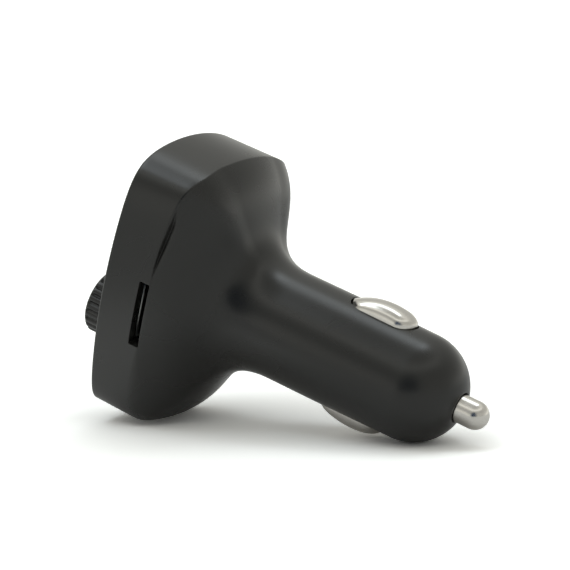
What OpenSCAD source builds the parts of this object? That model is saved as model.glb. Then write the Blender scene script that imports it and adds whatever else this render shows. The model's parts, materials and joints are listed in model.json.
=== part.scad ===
// Car FM transmitter that plugs into a lighter socket, lying on the lower edge of its head and on its nose.
// Millimetres. Every module draws in the plug's frame and lay() then sets it on the floor: +X runs along
// the plug towards its tip with 0 at the head's front rim, +Z to the top of the head, and the card slot
// is on the -Y side.

/* [Head] */
// Half the width of the head at its widest level
head_half_w = 19.55; // [19:0.05:20.5]
// Height of the widest level over the plug's axis
head_widest_z = 12.3; // [11.5:0.1:13]
// Radius of the bowed sides
side_bow_r = 95; // [90:0.5:100]
// Top of the head over the plug's axis
head_top = 26.8; // [26.4:0.1:28]
// Radius of the arched top
top_bow_r = 49; // [45:0.5:54]
// Bottom of the head under the plug's axis
head_bottom = 27.4; // [27:0.05:28]
// Mean depth of the straight wall band behind the front rim
band_depth = 10.65; // [10.5:0.05:11]
// Distance from the front rim to the end of the bell
bell_end = 30.75; // [30.25:0.05:31.5]
// Wall thickness of the head
wall = 1.8; // [1.6:0.05:2]
// Rounding of the front rim's outer edge
rim_round = 0.5; // [0.3:0.05:0.6]
// Thickness of the rim around the fascia
rim_wall = 1.2; // [1:0.05:1.3]

/* [Plug] */
// Radius of the round barrel
barrel_r = 10.5; // [10.4:0.05:10.6]
// Wall thickness of the barrel
barrel_wall = 1.6; // [1.4:0.05:1.7]
// How much less the barrel's radius is at the nose
barrel_draft = 0.2; // [0.1:0.05:0.3]
// Distance from the front rim to the place where the barrel's draft starts
draft_x = 41; // [40.7:0.05:41.1]
// Distance from the front rim to the centre of the nose ball
nose_x = 57.75; // [57.5:0.05:59]
// Radius of the centre contact
tip_r = 2.7; // [2.6:0.05:2.8]
// How far the centre contact stands out of the nose
tip_out = 5.55; // [5:0.05:6]
// Travel of the centre contact
tip_travel = 3; // [2.5:0.1:3.2]
// Gap around the centre contact where it leaves the nose
tip_gap = 0.2; // [0.15:0.05:0.3]
// Length of a side contact's window
window_len = 13.8; // [13.4:0.1:14.2]
// Width of a side contact's window
window_w = 7; // [6.8:0.1:7.2]
// Distance from the window's middle back to the front rim
window_x = 48; // [47.7:0.1:48.3]
// How far a side contact stands proud of the barrel
contact_proud = 2; // [1.8:0.05:2.2]
// Gap between a side contact and its window
contact_gap = 0.25; // [0.2:0.05:0.35]

/* [Fascia] */
// Thickness of the fascia
fascia_t = 2.2; // [2.1:0.05:2.4]
// Gap between the fascia and the rim
fascia_gap = 0.1; // [0.05:0.01:0.15]
// Depth of the knob's recess in the fascia
recess_depth = 1.4; // [1.3:0.05:1.5]
// Gap between the knob and its recess
recess_gap = 0.5; // [0.3:0.05:0.7]
// Radius of the microphone's hole
mic_hole_r = 0.6; // [0.4:0.05:0.8]

/* [Knob] */
// Outer radius of the knob over its ribs
knob_r = 6.4; // [6.2:0.05:6.6]
// How far the knob stands out in front of the rim
knob_out = 8.7; // [8:0.1:9.5]
// Height of the knob's axis, under the plug's axis
knob_z = -11.8; // [-12.2:0.1:-11.6]
// Number of grip ribs
knob_ribs = 24; // [18:1:30]
// Depth of the grooves between the ribs
groove_depth = 0.45; // [0.3:0.05:0.6]
// Chamfer of the knob's outer edge
knob_chamfer = 0.5; // [0.3:0.05:0.6]
// Travel of the knob when it is pressed
knob_travel = 0.5; // [0.3:0.05:0.6]
// Radius of the encoder's shaft
shaft_r = 2.2; // [2:0.05:2.3]
// Running clearance of the shaft in its bushing
shaft_clearance = 0.06; // [0.03:0.01:0.09]

/* [Display] */
// Width of the display window's lens
lens_w = 25; // [23:0.5:25.5]
// Height of the display window's lens
lens_h = 10.8; // [10:0.1:11]
// Height of the lens's middle over the plug's axis
lens_z = 17; // [16.9:0.1:17.2]
// Thickness of the lens
lens_t = 1; // [0.8:0.05:1.2]
// Corner radius of the lens
lens_corner_r = 2; // [1:0.1:2.5]

/* [USB sockets] */
// Width of a socket's metal shell
usb_w = 13.1; // [12.9:0.05:13.3]
// Height of a socket's metal shell
usb_h = 5.7; // [5.6:0.05:5.8]
// Depth of a socket
usb_depth = 13.7; // [13:0.1:13.9]
// Thickness of the shell's sheet
usb_sheet = 0.35; // [0.3:0.05:0.4]
// Distance of a socket's middle from the head's middle
usb_y = 7.5; // [7.3:0.05:7.7]
// Height of the sockets' middle over the plug's axis
usb_z = 7.1; // [7:0.05:7.3]

/* [Card slot] */
// Length of the slot in the side wall
slot_len = 13.3; // [13:0.1:13.6]
// Width of the slot
slot_w = 2.15; // [2:0.05:2.3]
// Height of the slot's middle, under the plug's axis
slot_z = -4.1; // [-4.3:0.1:-3.9]
// Depth of the card socket
card_depth = 9.2; // [8.8:0.1:9.4]

/* [Boards] */
// Distance from the front rim to the front board's front face
board_x = 9.75; // [9.6:0.05:9.9]
// Thickness of the front board
board_t = 1.2; // [1:0.1:1.3]
// Thickness of the power board
power_t = 1.2; // [1:0.1:1.4]
// Gap between the power board's long edges and the bore, at mid height
power_gap = 1.3; // [1.1:0.1:1.6]

/* [Hidden] */
$fn = 64;

// Overrun of every cut past the face that it opens
overrun = 0.5;
// Gap between neighbouring pieces that don't touch
play = 0.1;
// Sides of the lofted head, and steps along its rim, its bell and the bell's inside
head_sides = 96;
rim_steps = 3;
bell_steps = 18;
inner_steps = 9;
// Sharpness of the head's corners, as the exponent that blends its walls: at mid height, how much less it
// is at the top, and how much more it is in the bell
corner_sharpness = 12.6;
corner_softening = 2.85;
bell_sharpening = 2.5;
// How the band's depth goes round the head: shares of its mean depth, by the waves round the outline
band_wave_shares = [1, 0.045, 0.125, 0.005, 0.05, -0.035];
// How much nearer the bell ends at the top than at mid height, as a share of its distance
bell_lean_share = 0.02;
// The bell's curve: lengths and drops of its two handles, as shares of its length and of its fall
bell_start_share = 0.51;
bell_shoulder_share = 0.445;
bell_shoulder_lean_share = 0.035;
bell_tail_share = 0.71;
bell_tail_lift_share = 0.007;
// Step from the bell down to the barrel, which keeps the barrel's wall whole
bell_step = 0.04;
// How far the bell's inside lies in front of its outside at the band
bell_inner_shift = 0.6;
// Ledge that the fascia rests on
ledge_w = 2.7;
ledge_t = 1.2;

// The barrel's inside
bore_r = barrel_r - barrel_wall;
bore_end = nose_x - barrel_wall / 2;
// The centre contact's chamber: its room round the contact as a share of the barrel's wall, and the place
// of its shoulder as a share of the nose ball's radius
chamber_room_share = 0.78;
shoulder_share = 0.6;
nose_r = barrel_r - barrel_draft;
chamber_r = tip_r + chamber_room_share * barrel_wall;
shoulder_x = nose_x + shoulder_share * nose_r;

// Where the round nose ends, and the centre contact's dome starts
nose_end = nose_x + nose_r;
tip_dome_x = nose_end + tip_out - tip_r;

// Distance from the plug's axis to the head's outline, at angle a from the top, with corners sharpened
// by a further amount
function arc_reach(dy, dz, cy, cz, r) =
    let (k = dy * cy + dz * cz) k + sqrt(r * r - cy * cy - cz * cz + k * k);
function outline_r(a, sharpening = 0) =
    let (
        dy = sin(a),
        dz = cos(a),
        sharpness = corner_sharpness - corner_softening * dz + sharpening,
        side = arc_reach(abs(dy), dz, head_half_w - side_bow_r, head_widest_z, side_bow_r),
        top = arc_reach(dy, dz, 0, head_top - top_bow_r, top_bow_r),
        floor_share = max(-dz, 0) / head_bottom
    )
    pow(pow(side, -sharpness) + pow(top, -sharpness) + pow(floor_share, sharpness), -1 / sharpness);

// The bell from the band (t = 0) to the barrel (t = 1)
function bezier(t, p0, p1, p2, p3) =
    pow(1 - t, 3) * p0 + 3 * t * pow(1 - t, 2) * p1 + 3 * t * t * (1 - t) * p2 + pow(t, 3) * p3;
function band_end(a) =
    band_depth * [for (k = [0 : len(band_wave_shares) - 1]) cos(k * a)] * band_wave_shares;
function bell_x(t, a) =
    let (
        start = band_end(a),
        end = bell_end * (1 - bell_lean_share * cos(a)),
        run = end - start
    )
    bezier(t, start, start + bell_start_share * run, end - bell_tail_share * run, end);
function bell_r(t, a) =
    let (foot = barrel_r + bell_step, shoulder = bell_shoulder_share - bell_shoulder_lean_share * cos(a))
    foot + (outline_r(a, bell_sharpening) - foot) * bezier(t, 1, 1 - shoulder, bell_tail_lift_share, 0);

// The tilt at which the bell's lower edge and the nose both touch the floor, found by halving
function head_reach(tilt) =
    max([for (k = [0 : bell_steps])
        bell_x(k / bell_steps, 180) * sin(tilt) + bell_r(k / bell_steps, 180) * cos(tilt)]);
function nose_reach(tilt) = nose_x * sin(tilt) + nose_r;
function resting_tilt(low, high, halvings) =
    let (middle = (low + high) / 2)
    halvings == 0 ? middle
    : head_reach(middle) > nose_reach(middle) ? resting_tilt(middle, high, halvings - 1)
    : resting_tilt(low, middle, halvings - 1);
tilt = resting_tilt(0, 45, 40);
lift = nose_reach(tilt);
back_x = -knob_out * cos(tilt) + (knob_z - knob_r + knob_chamfer) * sin(tilt);
front_x = tip_dome_x * cos(tilt) + tip_r;

module lay() {
    translate([-(back_x + front_x) / 2, 0, lift])
        rotate([0, tilt, 0])
            children();
}

// Draws along the plug: a child that stands on z = 0 starts at x
module along(x) {
    translate([x, 0, 0])
        rotate([0, 90, 0])
            children();
}

// A flat drawing in head coordinates (across, up), extruded from x over a length
module panel(x, length) {
    translate([x, 0, 0])
        rotate([90, 0, 90])
            linear_extrude(length)
                children();
}

module head_outline(inset) {
    polygon([for (k = [0 : head_sides - 1])
        let (a = 360 * k / head_sides) (outline_r(a) - inset) * [sin(a), cos(a)]]);
}

module rounded_rect(w, h, r) {
    square([w - 2 * r, h], center = true);
    square([w, h - 2 * r], center = true);
    for (sy = [-1, 1])
        for (sz = [-1, 1])
            translate([sy * (w / 2 - r), sz * (h / 2 - r)])
                circle(r);
}

// Housing

// Closes a stack of rings into a tube whose last ring joins its first
module ring_tube(rings) {
    n = head_sides;
    m = len(rings);
    points = [for (ring = rings) for (p = ring) p];
    faces = [for (j = [0 : m - 1]) for (k = [0 : n - 1])
        let (
            a = j * n + k,
            b = j * n + (k + 1) % n,
            c = ((j + 1) % m) * n + (k + 1) % n,
            d = ((j + 1) % m) * n + k
        )
        each [[a, b, c], [a, c, d]]];
    polyhedron(points, faces, convexity = 6);
}

function ring_point(x, r, a) = [x, r * sin(a), r * cos(a)];
function ring_angles() = [for (k = [0 : head_sides - 1]) 360 * k / head_sides];

module head_shell() {
    angles = ring_angles();
    rim = [for (j = [0 : rim_steps])
        let (q = 90 * j / rim_steps)
        [for (a = angles)
            ring_point(rim_round * (1 - cos(q)), outline_r(a) - rim_round * (1 - sin(q)), a)]];
    bell = [for (j = [0 : bell_steps])
        let (t = j / bell_steps)
        [for (a = angles) ring_point(bell_x(t, a), bell_r(t, a), a)]];
    inside = [for (j = [inner_steps : -1 : 0])
        let (t = j / inner_steps, thickness = wall * (1 - t) + barrel_wall * t)
        [for (a = angles)
            ring_point(bell_x(t, a) - bell_inner_shift * (1 - t), bell_r(t, a) - thickness, a)]];
    ledge = [for (step = [
            [fascia_t + ledge_t, wall],
            [fascia_t + ledge_t, ledge_w],
            [fascia_t, ledge_w],
            [fascia_t, rim_wall],
            [0, rim_wall]
        ])
        [for (a = angles) ring_point(step[0], outline_r(a) - step[1], a)]];
    ring_tube(concat(rim, bell, inside, ledge));
}

module barrel_and_nose() {
    start = bell_end * (1 - 2 * bell_lean_share);
    along(0)
        rotate_extrude()
            difference() {
                union() {
                    polygon([[0, start], [barrel_r, start], [barrel_r, draft_x], [nose_r, nose_x], [0, nose_x]]);
                    translate([0, nose_x])
                        intersection() {
                            circle(nose_r);
                            square(nose_r);
                        }
                }
                translate([0, start - overrun])
                    square([bore_r, bore_end - start + overrun]);
                translate([0, bore_end - overrun])
                    square([chamber_r, shoulder_x - bore_end + overrun]);
                translate([0, nose_x])
                    square([tip_r + tip_gap, nose_r + overrun]);
            }
}

// A side contact's window, cut through the barrel's wall on the side that side = 1 or -1 names
module contact_window(side) {
    mirror([0, 0, side > 0 ? 0 : 1])
        translate([window_x, 0, bore_r / 2])
            linear_extrude(barrel_r)
                window_plan();
}

module window_plan() {
    half = (window_len - window_w) / 2;
    square([2 * half, window_w], center = true);
    for (end = [-1, 1])
        translate([end * half, 0])
            circle(window_w / 2);
}

// Places a child on the outside of the -Y wall at the slot, with its -Y along the wall's normal
side_angle = asin((head_widest_z - slot_z) / side_bow_r);
slot_x = board_x - slot_w / 2;
module at_slot() {
    translate([slot_x, side_bow_r - head_half_w, head_widest_z])
        rotate([side_angle, 0, 0])
            translate([0, -side_bow_r, 0])
                children();
}

// Rails that hold the power board's edges in the barrel
power_half_w = bore_r - power_gap;
rail_x = bell_end + 1;
rail_len = 7;
rail_w = 1.4;
rail_h = 1;
module board_rails() {
    for (sy = [-1, 1])
        for (sz = [-1, 1])
            intersection() {
                translate([rail_x, sy > 0 ? power_half_w - rail_w : -bore_r - play,
                        sz > 0 ? power_t / 2 : -power_t / 2 - rail_h])
                    cube([rail_len, bore_r + play + rail_w - power_half_w, rail_h]);
                along(rail_x)
                    cylinder(h = rail_len, r = bore_r + play);
            }
}

module housing() {
    color([0.05, 0.05, 0.05])
        lay()
            difference() {
                union() {
                    head_shell();
                    barrel_and_nose();
                    board_rails();
                }
                contact_window(1);
                contact_window(-1);
                at_slot()
                    translate([-slot_w / 2, -overrun, -slot_len / 2])
                        cube([slot_w, 2 * wall + overrun, slot_len]);
            }
}

// Front fascia

// Screw posts behind the fascia: places across and up
post_r = 1.8;
post_places = [
    [lens_w / 2 + play + 0.5 * post_r, usb_z + usb_h / 2 + 4 * play + post_r],
    [-lens_w / 2 - play - 0.5 * post_r, usb_z + usb_h / 2 + 4 * play + post_r],
    [knob_r + play + 0.9 * post_r, knob_z - knob_r - post_r],
    [-knob_r - play - 0.9 * post_r, knob_z - knob_r - post_r]
];
screw_r = 0.8;
screw_head_r = 1.5;
screw_head_t = 1;
screw_depth = 5;
bushing_r = 3.4;
mic_r = 2;
mic_t = 1.6;
mic_y = 11.4;
mic_z = -3;
mic_collar = 0.8;
window_border = 1.4;

module at_head(place) {
    translate([0, place[0], place[1]])
        children();
}

module usb_hole(side) {
    translate([side * usb_y, usb_z])
        square([usb_w + 2 * play, usb_h + 2 * play], center = true);
}

module front_fascia() {
    color([0.04, 0.04, 0.045])
        lay()
            difference() {
                union() {
                    panel(0, fascia_t)
                        head_outline(rim_wall + fascia_gap);
                    for (place = post_places)
                        at_head(place)
                            along(fascia_t)
                                cylinder(h = board_x - fascia_t, r = post_r);
                    at_head([mic_y, mic_z])
                        along(fascia_t)
                            cylinder(h = mic_t, r = mic_r + play + mic_collar);
                }
                panel(-overrun, lens_t + overrun)
                    translate([0, lens_z])
                        rounded_rect(lens_w + 2 * play, lens_h + 2 * play, lens_corner_r + play);
                panel(0, fascia_t + overrun)
                    translate([0, lens_z])
                        square([lens_w - 2 * window_border, lens_h - 2 * window_border], center = true);
                for (side = [-1, 1])
                    panel(-overrun, fascia_t + 2 * overrun)
                        usb_hole(side);
                at_head([0, knob_z])
                    along(-overrun) {
                        cylinder(h = recess_depth + overrun, r = knob_r + recess_gap);
                        cylinder(h = fascia_t + 2 * overrun, r = bushing_r + play);
                    }
                at_head([mic_y, mic_z]) {
                    along(-overrun)
                        cylinder(h = fascia_t + overrun, r = mic_hole_r, $fn = 24);
                    along(fascia_t)
                        cylinder(h = mic_t + overrun, r = mic_r + play);
                }
                for (place = post_places)
                    at_head(place)
                        along(board_x - screw_depth)
                            cylinder(h = screw_depth + overrun, r = screw_r + play / 2, $fn = 24);
            }
}

module display_lens() {
    color([0.02, 0.02, 0.025])
        lay()
            panel(0, lens_t)
                translate([0, lens_z])
                    rounded_rect(lens_w, lens_h, lens_corner_r);
}

module display_module() {
    w = lens_w - 2 * window_border - 2 * play;
    h = lens_h - 2 * window_border - 2 * play;
    color([0.16, 0.16, 0.17])
        lay() {
            panel(lens_t, fascia_t + play - lens_t)
                translate([0, lens_z])
                    square([w, h], center = true);
            panel(fascia_t + play, board_x - fascia_t - play)
                translate([0, lens_z])
                    square([w, lens_h - window_border], center = true);
        }
}

// Knob and encoder

// The knob starts inside its recess, so far behind the rim
knob_start = 0.4;
// The cap in its front leaves a rim of this width
knob_rim = 1.3;
cap_r = knob_r - knob_rim;
cap_t = 0.8;
shaft_in_knob = 6;
hollow_depth = 1.8;
encoder_w = 9.3;
encoder_front = 3.75;
cavity_r = 2.7;
plunger_r = 2;
plunger_t = 1.4;
// The shaft reaches so far into the encoder's body, and the bushing stands so far out in the recess
shaft_reach = 1.05;
bushing_lip = 0.4;
shaft_back = encoder_front + shaft_reach;
bushing_front = recess_depth - bushing_lip;

module ribbed_outline() {
    steps = 8;
    polygon([for (k = [0 : knob_ribs * steps - 1])
        let (
            a = 360 * k / (knob_ribs * steps),
            groove = pow((1 - cos(knob_ribs * a)) / 2, 2)
        )
        (knob_r - groove_depth * groove) * [cos(a), sin(a)]]);
}

module knob() {
    length = knob_out + knob_start;
    color([0.06, 0.06, 0.06])
        lay()
            at_head([0, knob_z])
                difference() {
                    along(-knob_out)
                        intersection() {
                            linear_extrude(length)
                                ribbed_outline();
                            union() {
                                cylinder(h = knob_chamfer + play, r1 = knob_r - knob_chamfer, r2 = knob_r + play);
                                translate([0, 0, knob_chamfer + play])
                                    cylinder(h = length, r = knob_r + play);
                            }
                        }
                    along(-knob_out - overrun)
                        cylinder(h = cap_t + overrun, r = cap_r + play / 2);
                    along(-shaft_in_knob - play / 2)
                        cylinder(h = shaft_in_knob + knob_start + overrun, r = shaft_r + play / 2);
                    along(knob_start - hollow_depth)
                        cylinder(h = hollow_depth + overrun, r = bushing_r + recess_gap);
                }
}

module knob_cap() {
    color([0.03, 0.03, 0.035])
        lay()
            at_head([0, knob_z])
                along(-knob_out)
                    cylinder(h = cap_t, r = cap_r);
}

module encoder_shaft() {
    color([0.75, 0.75, 0.72])
        lay()
            at_head([0, knob_z])
                along(-shaft_in_knob)
                    cylinder(h = shaft_in_knob + shaft_back, r = shaft_r);
}

module switch_plunger() {
    color([0.85, 0.85, 0.82])
        lay()
            at_head([0, knob_z])
                along(shaft_back + play)
                    cylinder(h = plunger_t, r = plunger_r);
}

module encoder_body() {
    depth = board_x - encoder_front;
    color([0.6, 0.6, 0.6])
        lay()
            difference() {
                union() {
                    translate([encoder_front, -encoder_w / 2, knob_z - encoder_w / 2])
                        cube([depth, encoder_w, encoder_w]);
                    at_head([0, knob_z])
                        along(bushing_front)
                            cylinder(h = encoder_front - bushing_front, r = bushing_r);
                }
                at_head([0, knob_z]) {
                    along(bushing_front - overrun)
                        cylinder(h = encoder_front - bushing_front + 2 * overrun, r = shaft_r + shaft_clearance);
                    along(encoder_front + play)
                        cylinder(h = shaft_back - encoder_front + plunger_t + knob_travel + play, r = cavity_r);
                }
            }
}

// USB sockets

usb_front = 0.15;
usb_back = usb_front + usb_depth;
tongue_w = 11.1;
tongue_h = 1.9;
tongue_lift = 0.9;
tongue_front = usb_front + 1.2;
usb_block = 2.5;
pin_w = 1;
pin_t = 0.15;
pin_pitch = 2.5;

module usb_shell(side) {
    color([0.8, 0.8, 0.78])
        lay()
            panel(usb_front, usb_depth)
                translate([side * usb_y, usb_z])
                    difference() {
                        square([usb_w, usb_h], center = true);
                        square([usb_w - 2 * usb_sheet, usb_h - 2 * usb_sheet], center = true);
                    }
}

module usb_tongue(side) {
    inside_w = usb_w - 2 * usb_sheet;
    inside_h = usb_h - 2 * usb_sheet;
    color([0.92, 0.92, 0.9])
        lay()
            translate([0, side * usb_y, usb_z]) {
                panel(usb_back - usb_block, usb_block)
                    square([inside_w, inside_h], center = true);
                panel(tongue_front, usb_back - usb_block - tongue_front)
                    translate([0, tongue_lift])
                        square([tongue_w, tongue_h], center = true);
                for (k = [-1.5 : 1 : 1.5])
                    translate([tongue_front + pin_t, k * pin_pitch - pin_w / 2, tongue_lift - tongue_h / 2 - pin_t])
                        cube([usb_back - usb_block - tongue_front - pin_t, pin_w, pin_t]);
            }
}

module usb_shell_left() {
    usb_shell(-1);
}

module usb_shell_right() {
    usb_shell(1);
}

module usb_tongue_left() {
    usb_tongue(-1);
}

module usb_tongue_right() {
    usb_tongue(1);
}

// Front board and what it carries

board_inset = 3.1;
board_back = board_x + board_t;

module front_board() {
    color([0.05, 0.3, 0.15])
        lay()
            difference() {
                panel(board_x, board_t)
                    head_outline(board_inset);
                for (side = [-1, 1])
                    panel(board_x - overrun, board_t + 2 * overrun)
                        usb_hole(side);
                for (place = post_places)
                    at_head(place)
                        along(board_x - overrun)
                            cylinder(h = board_t + 2 * overrun, r = screw_r + play, $fn = 24);
            }
}

module board_screws() {
    color([0.7, 0.7, 0.7])
        lay()
            for (place = post_places)
                at_head(place) {
                    along(board_x - screw_depth + play)
                        cylinder(h = screw_depth + board_t - play, r = screw_r, $fn = 24);
                    difference() {
                        along(board_back)
                            cylinder(h = screw_head_t, r = screw_head_r, $fn = 32);
                        translate([board_back + screw_head_t / 2, -screw_head_r, -screw_r / 4])
                            cube([screw_head_t, 2 * screw_head_r, screw_r / 2]);
                    }
                }
}

// The card socket's shell stands back from the wall's inside, and is narrower than the slot
card_sheet = 0.2;
card_side_gap = 0.4;
card_setback = 0.5;
card_shell_w = slot_len - 2 * card_side_gap;
card_recess = wall + card_setback;
card_tray_t = 0.5;
card_pin_w = 0.6;
card_pin_pitch = 1.1;

module card_socket_shell() {
    color([0.78, 0.78, 0.76])
        lay()
            at_slot()
                translate([-slot_w / 2, card_recess, -card_shell_w / 2])
                    difference() {
                        cube([slot_w, card_depth, card_shell_w]);
                        translate([card_sheet, -overrun, card_sheet])
                            cube([slot_w, card_depth - card_sheet + overrun, card_shell_w - 2 * card_sheet]);
                    }
}

module card_socket_base() {
    inner_w = card_shell_w - 2 * card_sheet;
    depth = card_depth - card_sheet;
    color([0.1, 0.1, 0.1])
        lay()
            at_slot()
                translate([slot_w / 2 - card_tray_t, card_recess, -inner_w / 2]) {
                    cube([card_tray_t, depth, inner_w]);
                    translate([card_sheet - slot_w + card_tray_t, depth - 2 * card_tray_t, 0])
                        cube([slot_w - card_sheet, 2 * card_tray_t, inner_w]);
                    for (k = [0 : 7])
                        translate([-card_sheet, depth / 2, inner_w / 2 + (k - 3.5) * card_pin_pitch - card_pin_w / 2])
                            cube([card_sheet, depth / 2, card_pin_w]);
                }
}

mic_lead_r = 0.25;
module microphone() {
    color([0.7, 0.7, 0.68])
        lay()
            at_head([mic_y, mic_z]) {
                along(fascia_t)
                    cylinder(h = mic_t, r = mic_r);
                for (side = [-1, 1])
                    translate([0, side * mic_r / 2, 0])
                        along(fascia_t + mic_t)
                            cylinder(h = board_x - fascia_t - mic_t, r = mic_lead_r, $fn = 16);
            }
}

// A chip on the back of the front board: its middle across and up, its width, height and thickness
module back_chip(place, w, h, t) {
    panel(board_back, t)
        translate(place)
            square([w, h], center = true);
}

radio_w = 6;
radio_t = 0.9;
radio_place = [6, 15];
fm_w = 3.6;
fm_t = 0.8;
fm_place = [-6, 15];
crystal_w = 3.2;
crystal_h = 2.5;
crystal_t = 0.7;
crystal_place = [0.5, 17];

module radio_chip() {
    color([0.03, 0.03, 0.03])
        lay()
            back_chip(radio_place, radio_w, radio_w, radio_t);
}

module fm_chip() {
    color([0.03, 0.03, 0.03])
        lay()
            back_chip(fm_place, fm_w, fm_w, fm_t);
}

module crystal() {
    color([0.8, 0.8, 0.8])
        lay()
            back_chip(crystal_place, crystal_w, crystal_h, crystal_t);
}

// Power board in the barrel and what it carries

// The power board ends so far before the end of the bore
power_setback = 3.2;
power_start = board_back + play;
power_end = bore_end - power_setback;
connector_len = 2.4;
connector_w = 11;
connector_h = 2.5;
header_r = 0.32;
header_pitch = 2;

module board_connector() {
    color([0.08, 0.08, 0.08])
        lay() {
            translate([board_back, -connector_w / 2, power_t / 2])
                cube([connector_len, connector_w, connector_h]);
            for (k = [-2 : 2])
                translate([board_back + connector_len, k * header_pitch - header_r, power_t / 2])
                    cube([connector_len / 2, 2 * header_r, header_r]);
        }
}

module power_board() {
    color([0.05, 0.3, 0.15])
        lay()
            translate([power_start, -power_half_w, -power_t / 2])
                cube([power_end - power_start, 2 * power_half_w, power_t]);
}

inductor_x = 20;
inductor_r = 3.6;
inductor_h = 5;
inductor_flange = 0.8;
module inductor() {
    color([0.15, 0.15, 0.15])
        lay()
            translate([inductor_x, 0, -power_t / 2 - inductor_h]) {
                cylinder(h = inductor_flange, r = inductor_r);
                translate([0, 0, inductor_flange])
                    cylinder(h = inductor_h - 2 * inductor_flange, r = inductor_r - inductor_flange);
                translate([0, 0, inductor_h - inductor_flange])
                    cylinder(h = inductor_flange, r = inductor_r);
            }
}

cap_body_r = 3;
cap_body_len = 11;
cap_body_x = 16;
cap_body_y = 3.3;
cap_lead_r = 0.3;
cap_lead_len = 1.2;
module capacitor() {
    color([0.1, 0.12, 0.3])
        lay()
            translate([0, cap_body_y, power_t / 2 + cap_body_r]) {
                along(cap_body_x)
                    cylinder(h = cap_body_len, r = cap_body_r);
                for (side = [-1, 1])
                    translate([0, side * cap_body_r / 2, 0]) {
                        along(cap_body_x + cap_body_len)
                            cylinder(h = cap_lead_len, r = cap_lead_r, $fn = 16);
                        translate([cap_body_x + cap_body_len + cap_lead_len - cap_lead_r, 0, -cap_body_r])
                            cylinder(h = cap_body_r, r = cap_lead_r, $fn = 16);
                    }
            }
}

// A chip that stands on the power board: its place along and across, its length, width and height
module power_chip(x, y, l, w, h, side) {
    translate([x - l / 2, y - w / 2, side > 0 ? power_t / 2 : -power_t / 2 - h])
        cube([l, w, h]);
}

regulator_x = 34;
regulator_l = 4.9;
regulator_w = 3.9;
regulator_h = 1.5;
regulator_leg = 0.45;
regulator_pitch = 1.27;
module regulator() {
    color([0.03, 0.03, 0.03])
        lay() {
            power_chip(regulator_x, 0, regulator_l, regulator_w, regulator_h, 1);
            for (side = [-1, 1])
                for (k = [-1.5 : 1 : 1.5])
                    power_chip(regulator_x + k * regulator_pitch, side * (regulator_w / 2 + regulator_leg),
                        regulator_leg, 2 * regulator_leg, regulator_leg, 1);
        }
}

fuse_x = 34;
fuse_l = 4.5;
fuse_w = 3.2;
fuse_h = 1;
module fuse() {
    color([0.1, 0.35, 0.1])
        lay()
            power_chip(fuse_x, 0, fuse_l, fuse_w, fuse_h, -1);
}

// Side contacts

// The crest is highest so far from the window's middle towards the tip, and its nose end is rounder
contact_peak = 0.8;
contact_half = window_len / 2 - contact_gap;
contact_half_w = window_w / 2 - contact_gap;
// The crown rises from so far under the barrel's skin, on a flange that hangs in the bore
contact_root = 0.75;
contact_base = barrel_r - contact_root;
contact_flange_t = 0.7;
contact_flange_side = 0.5;
contact_flange_end = 0.6;
contact_hang = 0.5;
contact_foot = sqrt(pow(bore_r, 2) - pow(contact_half_w + contact_flange_side, 2)) - contact_hang;
contact_end = window_x + contact_half + contact_flange_end;
contact_steps = 20;
contact_sides = 12;
pocket_w = 3.8;
pocket_len = 8;
pocket_skin = 1.45;
pocket_roof = barrel_r - pocket_skin;

// Height of the crest over the barrel, at a place along the contact, as a share of contact_proud
function crest_share(x) =
    let (
        toward_tip = (x - contact_peak) / (contact_half - contact_peak),
        toward_head = (contact_peak - x) / (contact_half + contact_peak)
    )
    x > contact_peak ? sqrt(max(0, 1 - toward_tip * toward_tip)) : max(0, 1 - toward_head * toward_head);

function plan_half_w(x) =
    let (past = max(0, abs(x) - (contact_half - contact_half_w)) / contact_half_w)
    contact_half_w * sqrt(max(0, 1 - past * past));

function contact_ring(s) =
    let (
        x = contact_half * sin(90 * s),
        half_w = plan_half_w(x),
        crown = barrel_r + contact_proud * crest_share(x) - contact_base
    )
    concat(
        [[window_x + x, -half_w, contact_foot - contact_flange_t / 2]],
        [for (k = [0 : contact_sides])
            let (q = 180 * k / contact_sides)
            [window_x + x, -half_w * cos(q), contact_base + crown * sin(q)]],
        [[window_x + x, half_w, contact_foot - contact_flange_t / 2]]
    );

module side_contact(side) {
    // The end rings stop just short of the plan's points, so that no face shrinks to nothing
    end_share = 0.96;
    rings = [for (j = [0 : contact_steps]) contact_ring(end_share * (2 * j / contact_steps - 1))];
    color([0.8, 0.78, 0.74])
        lay()
            mirror([0, 0, side > 0 ? 0 : 1])
                difference() {
                    union() {
                        tube(rings, contact_sides + 3);
                        translate([window_x - contact_half - contact_flange_end,
                                -contact_half_w - contact_flange_side, contact_foot - contact_flange_t])
                            cube([2 * (contact_half + contact_flange_end),
                                2 * (contact_half_w + contact_flange_side), contact_flange_t]);
                    }
                    translate([window_x - pocket_len / 2, -pocket_w / 2, contact_foot - contact_flange_t - overrun])
                        cube([pocket_len, pocket_w, pocket_roof - contact_foot + contact_flange_t + overrun]);
                }
}

module side_contact_upper() {
    side_contact(1);
}

module side_contact_lower() {
    side_contact(-1);
}

// A leaf spring bowed from the power board up into the contact's pocket
leaf_t = 0.3;
leaf_w = pocket_w - 4 * play;
leaf_half = pocket_len / 2 - 2 * play;
leaf_steps = 16;
leaf_fullness = 1.6;
function leaf_z(s) =
    power_t / 2 + (pocket_roof - leaf_t - power_t / 2) * (1 - pow(abs(s), leaf_fullness));

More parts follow.
